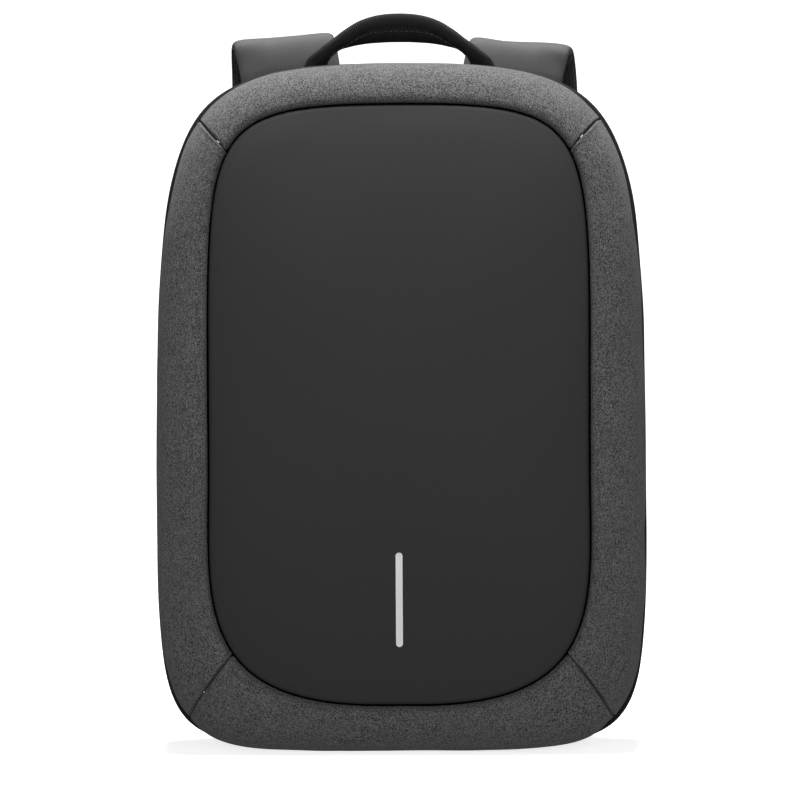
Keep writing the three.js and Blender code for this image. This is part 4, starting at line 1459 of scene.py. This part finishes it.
@dataclass
class ShoulderStrap:
    """A padded shoulder strap: grey cover outside, spacer mesh inside, folded over above the bag."""

    side: Side
    width: float = 62
    pad: float = 9
    sewn_z: float = FORM.body.top - 54
    top_z: float = FORM.body.top + 15.2
    end_z: float = 108
    spacing: float = 133
    reach: float = 44
    neck: float = 20
    roll: float = 0.07
    stations: int = 220
    # Shares of the way up, back, out and apart, then of the width and the thickness, and whether the row
    # is on the sewn side. A row that starts with -1 lies on the webbing's line.
    route: tuple[tuple[float, float, float, float, float, float, bool], ...] = (
        (0, 0, 0, 0, 0.96, 0.55, True),
        (0.4, 0, 0.1, 0, 0.98, 0.9, True),
        (0.78, 0.04, 0.35, 0, 1, 1, True),
        (0.97, 0.2, 0.7, 0, 1, 1, True),
        (0.99, 0.5, 0.95, 0.05, 1, 1, False),
        (0.94, 0.78, 1, 0.25, 1, 1, False),
        (0.82, 0.95, 1, 0.45, 1, 1, False),
        (0.64, 1, 1.08, 0.6, 1, 1, False),
        (0.42, 1, 1.25, 0.75, 0.97, 1, False),
        (0.2, 0.95, 1.5, 0.9, 0.88, 0.95, False),
        (-1, 0, 0, 0, 0.7, 0.75, False),
        (0, 0.62, 1.85, 1, 0.5, 0.6, False),
    )
    stitch: Repeat = Repeat(pitch=3.4, length=2.4, width=0.5, height=0.45)

    def seat(self) -> float:
        """Gives the depth of the middle of the strap where it's sewn to the back."""
        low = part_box(f"{self.side.word}_shoulder_strap")[0][1] / MM - Place.shift[1]
        return low + self.pad / 2

    def point(self, row: Sequence[float], seat: float) -> np.ndarray:
        """Gives the middle of the strap at one row of its route."""
        _, sign, lean, splay, lift = self.side.value
        up, back, out, apart = row[:4]
        foot = self.sewn_z if row[6] else self.end_z
        x = sign * (self.spacing / 2 + lean * out + splay * apart)
        return np.array([x, seat + self.reach * back, lerp(foot, self.top_z + lift * up, up)])

    def build(self, line: WebbingLine) -> list[Piece]:
        """Builds the pad, its cover and the stitches where it's sewn.

        Args:
            line: The line of the webbing below the strap.

        Returns:
            The pieces.
        """
        seat = line.seat
        rows = [line.below(-self.neck, 0) if r[0] < 0 else self.point(r, seat) for r in self.route]
        middles, ahead = SmoothRoute(np.array(rows)).sampled(self.stations)
        shares = np.linspace(0, 1, self.stations)
        size = through([r[4:6] for r in self.route], shares)
        width, thick = size[:, 0] * self.width, size[:, 1] * self.pad
        level = np.tile([1.0, 0.0, -self.side.value[1] * self.roll], (self.stations, 1))
        across = unit(level - ahead * np.sum(level * ahead, 1, keepdims=True))
        out = unit(np.cross(ahead, across))
        run = run_lengths(middles[:, None], 0)[:, 0]
        ends = ease(np.minimum(run, run[-1] - run) / 7)
        pad = self.pad_piece(middles, across, out, width, thick * lerp(0.45, 1, ends), run)
        cover = self.cover_piece(middles, across, out, width, thick * lerp(0.45, 1, ends), run)
        return [pad, cover, self.sewn_stitches(middles, across, out, width, thick, run)]

    def pad_piece(
        self,
        middles: np.ndarray,
        across: np.ndarray,
        out: np.ndarray,
        width: np.ndarray,
        thick: np.ndarray,
        run: np.ndarray,
    ) -> Piece:
        """Builds the foam pad, creased on its inner face where the strap folds over.

        Args:
            middles: The route.
            across: The direction across the strap.
            out: The direction out of its inner face.
            width: The strap's width at each station.
            thick: Its thickness.
            run: How far along each station is.

        Returns:
            The piece.
        """
        corners = 60
        a, b = rounded(np.linspace(0, 2 * math.pi, corners, endpoint=False), 0.32, 0.62)
        bend = np.exp(-(((run - 118) / 55) ** 2))[:, None]
        inner = np.clip(b, 0, 1)[None] ** 0.5
        side = np.abs(a)[None] ** 6
        folds = Ripple(self.side.value[1] + 40, 15).at(run[:, None], a[None] * 9)
        folds = folds + 0.6 * Ripple(self.side.value[1] + 50, 7).at(run[:, None], a[None] * 5)
        lift = folds * 0.9 * bend * np.maximum(inner, side * 0.8)
        sections = np.stack(
            [
                a[None] * (width[:, None] / 2 - 0.8) + np.sign(a)[None] * lift * side * 0.6,
                b[None] * (thick[:, None] / 2 - 0.3) + np.where(b[None] >= 0, 1, 0) * lift,
            ],
            -1,
        )
        piece = band(f"{self.side.word}_strap_pad", middles, across, out, sections, around=True)
        return dress(piece, Finish.MESH)

    def cover_piece(
        self,
        middles: np.ndarray,
        across: np.ndarray,
        out: np.ndarray,
        width: np.ndarray,
        thick: np.ndarray,
        run: np.ndarray,
    ) -> Piece:
        """Builds the cover over the outer face, turned round the strap's edges.

        Args:
            middles: The route.
            across: The direction across the strap.
            out: The direction out of its inner face.
            width: The strap's width at each station.
            thick: Its thickness.
            run: How far along each station is.

        Returns:
            The piece.
        """
        count = 56
        a, b = rounded(np.linspace(math.radians(-8), math.radians(188), count), 0.32, 0.62)
        b = -b
        edge = np.abs(np.linspace(-1, 1, count))[None]
        soft = Ripple(self.side.value[1] + 60, 38).at(run[:, None], a[None] * 26) * 0.35
        tucks = Ripple(self.side.value[1] + 70, 9).at(a[None] * 30, run[:, None] * 0.22)
        bend = np.exp(-(((run - 95) / 45) ** 2))[:, None]
        lift = soft * (1 - edge**4) + tucks * 0.55 * bend * np.exp(-(((edge - 0.72) / 0.14) ** 2))
        lift = lift + 0.45 * np.exp(-(((edge - 0.965) / 0.03) ** 2))

        def skin(grow: float, relief: np.ndarray) -> np.ndarray:
            wide = (width[:, None] / 2 + grow) * a[None]
            deep = (thick[:, None] / 2 + grow + relief) * b[None]
            return middles[:, None] + across[:, None] * wide[..., None] + out[:, None] * deep[..., None]

        outer, inner = skin(0.5, lift), skin(-0.5, lift * 0)
        u, v = run_lengths(outer, 0), run_lengths(outer, 1)
        piece = walled(f"{self.side.word}_strap_cover", outer, inner, np.stack([u, v], -1), False)
        return dress(piece, Finish.STRAP, [f"{self.side.word}_shoulder_strap"])

    def sewn_stitches(
        self,
        middles: np.ndarray,
        across: np.ndarray,
        out: np.ndarray,
        width: np.ndarray,
        thick: np.ndarray,
        run: np.ndarray,
    ) -> Piece:
        """Sets two rows of stitches across the sewn end.

        Args:
            middles: The route.
            across: The direction across the strap.
            out: The direction out of its inner face.
            width: The strap's width at each station.
            thick: Its thickness.
            run: How far along each station is.

        Returns:
            The stitches, as one piece.
        """
        runs = []
        shares = np.linspace(-0.42, 0.42, 24)[:, None]
        for place in (9.0, 14.0):
            i = int(np.searchsorted(run, place))
            line = middles[i] + across[i] * width[i] * shares + out[i] * (thick[i] / 2 + 0.1)
            runs.append((line, np.tile(out[i], (len(shares), 1))))
        return self.stitch.along(f"{self.side.word}_strap_stitches", runs, Finish.THREAD, "strap_cover")


@dataclass
class WebbingLine:
    """The line below a strap's tip that its webbing, lock and tab lie on."""

    strap: ShoulderStrap
    tab_lap: float = 1.7
    tab_thickness: float = 3.0
    seat: float = field(init=False)
    tip: np.ndarray = field(init=False)
    foot: np.ndarray = field(init=False)
    down: np.ndarray = field(init=False)
    across: np.ndarray = field(init=False)
    out: np.ndarray = field(init=False)

    def __post_init__(self) -> None:
        """Works out the line's ends and directions."""
        self.seat = self.strap.seat()
        self.tip = self.strap.point(self.strap.route[-1], self.seat)
        seam = FORM.body.inset(np.array(self.tab_lap), FORM.lip)
        sign = self.strap.side.value[1]
        y = FORM.gusset_depth + FORM.gap + self.tab_thickness / 2
        self.foot = np.array([sign * seam[0], y, seam[1]])
        self.down = unit(self.foot - self.tip)
        self.across = unit(np.array([1.0, 0, 0]) - self.down * self.down[0])
        self.out = unit(np.cross(self.across, self.down))

    def below(self, distance: float, lift: float) -> np.ndarray:
        """Gives a point so far below the tip and so far out from the line."""
        return self.tip + self.down * distance + self.out * lift


@dataclass
class StrapHardware:
    """The webbing, ladder lock and sewn tab below a strap."""

    line: WebbingLine
    width: float = 25
    thickness: float = 1.5
    tail: float = 62
    lock_thickness: float = 4
    bar: float = 4
    upper_slot: float = 8
    lower_slot: float = 5
    standoff: float = 7
    tab_length: float = 24
    tab_width: float = 36
    tab_seat: float = 4
    stitch: Repeat = Repeat(pitch=2.8, length=2.0, width=0.5, height=0.45)

    def turn(self, edge: float, towards: int) -> list[tuple[float, float]]:
        """Gives half a turn of webbing round a bar's edge, from behind to the front."""
        wrap = self.wrap
        angles = np.linspace(0, math.pi, 7)
        return [(edge + towards * wrap * math.sin(a) * 0.5, -wrap * math.cos(a)) for a in angles]

    @property
    def wrap(self) -> float:
        """Gives how far the webbing's middle lies from the lock's."""
        return self.lock_thickness / 2 + FORM.gap + self.thickness / 2

    def webbing(self, name: str, places: Sequence[tuple[float, float]], node_name: str) -> Piece:
        """Builds a flat webbing with thicker selvedges along places below the tip.

        Args:
            name: The piece's name.
            places: Distances below the tip and out from the line.
            node_name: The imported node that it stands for.

        Returns:
            The piece.
        """
        points = np.array([self.line.below(*place) for place in places])
        middles, ahead = SmoothRoute(points).sampled(len(points) * 8)
        across = np.tile(self.line.across, (len(middles), 1))
        out = unit(np.cross(across, ahead))
        half, thin = self.width / 2, self.thickness / 2
        shape = upper_face([(-1, 0.55), (-0.97, 1.0), (-0.9, 0.9), (-0.5, 0.86), (0, 0.84)])
        ring = [(a * half, t * thin) for a, t in shape] + [(a * half, -t * thin) for a, t in reversed(shape)]
        sections = np.tile(np.array(ring), (len(middles), 1, 1))
        piece = band(name, middles, across, out, sections, around=False)
        return dress(piece, Finish.WEBBING, [node_name])

    def build(self) -> list[Piece]:
        """Builds the loop, the lock, the adjusting webbing, the tab and its stitches."""
        line, wrap = self.line, self.wrap
        word = line.strap.side.word
        top = self.standoff
        middle = top + self.bar + self.upper_slot
        lower = middle + self.bar + self.lower_slot
        end = lower + self.bar
        length = float(np.linalg.norm(line.foot - line.tip))
        neck = line.strap.pad * 0.2
        loop = self.webbing(
            f"{word}_loop_webbing",
            [
                (FORM.gap, -neck),
                (top * 0.6, -wrap),
                *self.turn(top + self.bar, 1),
                (top * 0.6, wrap),
                (FORM.gap, neck),
            ],
            f"{word}_strap_loop",
        )
        adjusting = self.webbing(
            f"{word}_adjusting_webbing",
            [
                (length - self.tab_length - FORM.gap, 0),
                ((length - self.tab_length + end) / 2, -wrap * 0.8),
                (lower, -wrap),
                *self.turn(middle, -1),
                (lower, wrap),
                (end + self.tail * 0.4, wrap * 2),
                (end + self.tail, wrap * 2.4),
            ],
            f"{word}_webbing",
        )
        lock = bpy.data.objects.new(f"{word}_lock", copy_node(f"{word}_ladder_lock"))
        bpy.context.scene.collection.objects.link(lock)
        soften(lock, 0.7)
        dress(lock, Finish.LOCK, [f"{word}_ladder_lock"])
        return [loop, adjusting, lock, *self.tab(word)]

    def tab(self, word: str) -> list[Piece]:
        """Builds the tab that is sewn to the gusset's lower corner, with its box of stitches.

        Args:
            word: The side's name.

        Returns:
            The tab and its stitches.
        """
        line = self.line
        sign = line.strap.side.value[1]
        laps = (line.tab_lap - LAP_STEP, line.tab_lap + LAP_STEP)
        before, beyond = (FORM.body.inset(np.array(lap), FORM.lip) for lap in laps)
        seam = unit(before - beyond)
        along = np.array([seam[0], 0, sign * seam[1]])
        rear = np.array([0.0, 1.0, 0.0])
        start = line.foot + np.cross(rear, along) * self.tab_seat
        end = line.foot - line.down * self.tab_length
        keys = [
            (start, along, rear, self.tab_width),
            (line.foot, along, rear, self.tab_width),
            (end, line.across, line.out, self.width),
        ]
        shares = np.concatenate([np.linspace(0, 1, 5)[:-1], np.linspace(1, 2, 15)])
        rows = []
        for share in shares:
            i = min(int(share), 1)
            spot, side, face, width = (lerp(a, b, share - i) for a, b in zip(keys[i], keys[i + 1]))
            rows.append((spot, unit(side), unit(face), width))
        middles, across, out, wide = (np.array([r[k] for r in rows]) for k in range(4))
        half = line.tab_thickness / 2
        shape = upper_face([(-1, 0.4), (-0.97, 0.8), (-0.9, 1), (0, 1)])
        ring = [(a, t * half) for a, t in shape] + [(a, -t * half) for a, t in reversed(shape)]
        sections = np.array([[(a * w / 2, t) for a, t in ring] for w in wide])
        piece = band(f"{word}_tab_cloth", middles, across, out, sections, around=False)
        dress(piece, Finish.GUSSET, [f"{word}_sewn_tab"])
        top = middles + out * (half + 0.1)
        sewn = slice(5, -1)
        sides = [
            (top[sewn] + across[sewn] * edge * 0.4 * wide[sewn, None], out[sewn]) for edge in (-1, 1)
        ]
        stitches = self.stitch.along(f"{word}_tab_stitches", sides, Finish.THREAD, "coated_fabric")
        return [piece, stitches]


@dataclass
class ReflectiveStrip:
    """The pale strip low on the front panel, with pressed edges and round ends."""

    width: float = 4.2
    top_z: float = 121
    bottom_z: float = 65
    thickness: float = 0.8
    stations: int = 90

    def build(self) -> Piece:
        """Builds the strip along the panel's face and gives it its film."""
        half = self.width / 2
        span = (self.top_z - self.bottom_z) / 2
        along = -span * np.cos(np.linspace(0, math.pi, self.stations))
        beyond = np.maximum(np.abs(along) - (span - half), 0)
        wide = np.maximum(np.sqrt(np.maximum(half**2 - beyond**2, 0)), half / 8)
        z = (self.top_z + self.bottom_z) / 2 + along
        reach = np.abs(z - FORM.middle_z) / (FORM.middle_z - FORM.panel.bottom)
        seat = FORM.panel_y(reach, z) - FORM.gap
        middles = np.stack([0 * z, seat, z], -1)
        across = np.tile([1.0, 0, 0], (self.stations, 1))
        front = np.tile([0.0, -1.0, 0], (self.stations, 1))
        shape = upper_face([(-1, 0.4), (-0.9, 0.9), (-0.72, 1), (-0.5, 0.72), (0, 0.66)])
        ring = [(a, t * self.thickness) for a, t in shape] + [(1, -0.2), (-1, -0.2)]
        sections = np.array([[(a * w, t) for a, t in ring] for w in wide])
        piece = band("reflective_film", middles, across, front, sections, around=False)
        mesh = piece.data
        points = BackPad.points(piece) / MM
        corner = np.zeros(len(mesh.loops), np.int32)
        mesh.loops.foreach_get("vertex_index", corner)
        spots = (points[corner][:, [0, 2]] * MM).astype(np.float32)
        mesh.uv_layers[CLOTH_UV].data.foreach_set("uv", spots.reshape(-1))
        return dress(piece, Finish.FILM, ["reflective_strip"])


# The studio


@dataclass
class Studio:
    """A plain pale floor, soft light and the camera that the photograph was taken with."""

    distance: float = 2400
    scale: float = 0.611  # mm to a pixel in the seam plane, of 800 pixels
    height: float = 211.1
    side: float = -0.45
    turn: float = 1.0
    roll: float = -0.25
    sensor: float = 36.0
    below: float = 0.3  # the glow that a pale floor throws up at the bag
    above: float = 0.1

    def build(self) -> None:
        """Builds the camera, the floor and the lights."""
        self.camera()
        self.floor()
        self.lights()

    def camera(self) -> None:
        """Sets the camera at half the bag's height, a little to its right and a little out of level."""
        data = bpy.data.cameras.new("camera")
        data.sensor_width = self.sensor
        data.lens = self.sensor * self.distance / (self.scale * 800)
        data.clip_end = 20
        made = bpy.data.objects.new("camera", data)
        bpy.context.scene.collection.objects.link(made)
        turn = math.radians(self.turn)
        aim = np.array([self.side, 0, self.height]) + Place.shift
        spot = aim + self.distance * np.array([math.sin(turn), -math.cos(turn), 0])
        made.location = tuple(spot * MM)
        level = Matrix.Rotation(turn, 3, "Z") @ Matrix.Rotation(math.pi / 2, 3, "X")
        made.rotation_euler = (level @ Matrix.Rotation(math.radians(self.roll), 3, "Z")).to_euler()
        bpy.context.scene.camera = made

    def floor(self) -> None:
        """Makes a pale sweep that rises behind the bag."""
        depth = np.concatenate([[-4000], np.linspace(1500, 2600, 24), [2600]])
        bend = np.clip((depth - 1500) / 1100, 0, 1)
        rise = 1100 * (1 - np.sqrt(1 - bend**2))
        rise[-1] = 4200
        points = [(x, y, z) for y, z in zip(depth, rise) for x in (-4000, 4000)]
        faces = [[2 * i, 2 * i + 1, 2 * i + 3, 2 * i + 2] for i in range(len(depth) - 1)]
        sweep = add_piece("studio_sweep", np.array(points, float) - Place.shift, faces)
        material, tree, shader = surface("painted_sweep", Gloss(rough=0.9, level=0.0))
        shader.inputs["Base Color"].default_value = linear("#d8d8d8")
        shader.inputs["Emission Color"].default_value = linear("#ffffff")
        shader.inputs["Emission Strength"].default_value = 0.78
        sweep.data.materials.append(material)
        sweep.visible_diffuse = sweep.visible_glossy = False

    def lights(self) -> None:
        """Sets a softbox overhead, a little behind the middle, a broad one in front and a weak one a side."""
        boxes = (
            ("overhead", (0, 110, 1900), (0, 110, 200), (500, 1100), 65.0),
            ("front", (150, -2600, 400), (0, 0, 200), (1800, 1500), 38.0),
            ("right_rim", (1500, 300, 700), (0, 0, 200), (700, 1200), 5.0),
            ("left_rim", (-1500, 300, 700), (0, 0, 200), (700, 1200), 4.0),
        )
        for name, spot, aim, size, watts in boxes:
            data = bpy.data.lights.new(name, "AREA")
            data.shape = "RECTANGLE"
            data.size, data.size_y = (s * MM for s in size)
            data.energy = watts
            made = bpy.data.objects.new(name, data)
            bpy.context.scene.collection.objects.link(made)
            made.location = tuple(np.array(spot, float) * MM)
            ray = unit(np.array(aim, float) - np.array(spot, float))
            turn = math.atan2(ray[0], -ray[1]) if abs(ray[0]) + abs(ray[1]) > 1e-6 else 0.0
            made.rotation_euler = (math.acos(-ray[2]), 0, math.pi + turn)
        world = bpy.data.worlds.new("studio")
        world.use_nodes = True
        tree = world.node_tree
        tree.nodes.clear()
        way = node(tree, "ShaderNodeSeparateXYZ", {0: node(tree, "ShaderNodeTexCoord").outputs["Generated"]})
        glow = node(
            tree, "ShaderNodeMapRange", {0: way.outputs[2], 1: -0.15, 2: 0.15, 3: self.below, 4: self.above}
        )
        light = node(tree, "ShaderNodeBackground", {0: linear("#ffffff"), 1: glow.outputs[0]})
        node(tree, "ShaderNodeOutputWorld", {0: light.outputs[0]})
        bpy.context.scene.world = world
        bpy.context.scene.view_settings.view_transform = "Standard"


def main() -> None:
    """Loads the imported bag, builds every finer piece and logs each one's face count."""
    logging.basicConfig(level=logging.INFO, format="%(message)s")
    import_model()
    Place.find()
    Studio().build()
    FrontShell().build()
    for name, first, last, folded in (
        ("top_panel_cloth", 0, 2, False),
        ("right_side_panel_cloth", 2, 4, True),
        ("bottom_panel_cloth", 4, 7, False),
        ("left_side_panel_cloth", 7, 9, True),
    ):
        MelangePanel(name, first, last, folded).build()
    gusset = RearGusset()
    gusset.build()
    BackPad().build()
    HiddenZip(gusset).build()
    GrabHandle().build()
    for side in Side:
        strap = ShoulderStrap(side)
        line = WebbingLine(strap)
        strap.build(line)
        StrapHardware(line).build()
    ReflectiveStrip().build()


if __name__ == "__main__":
    main()
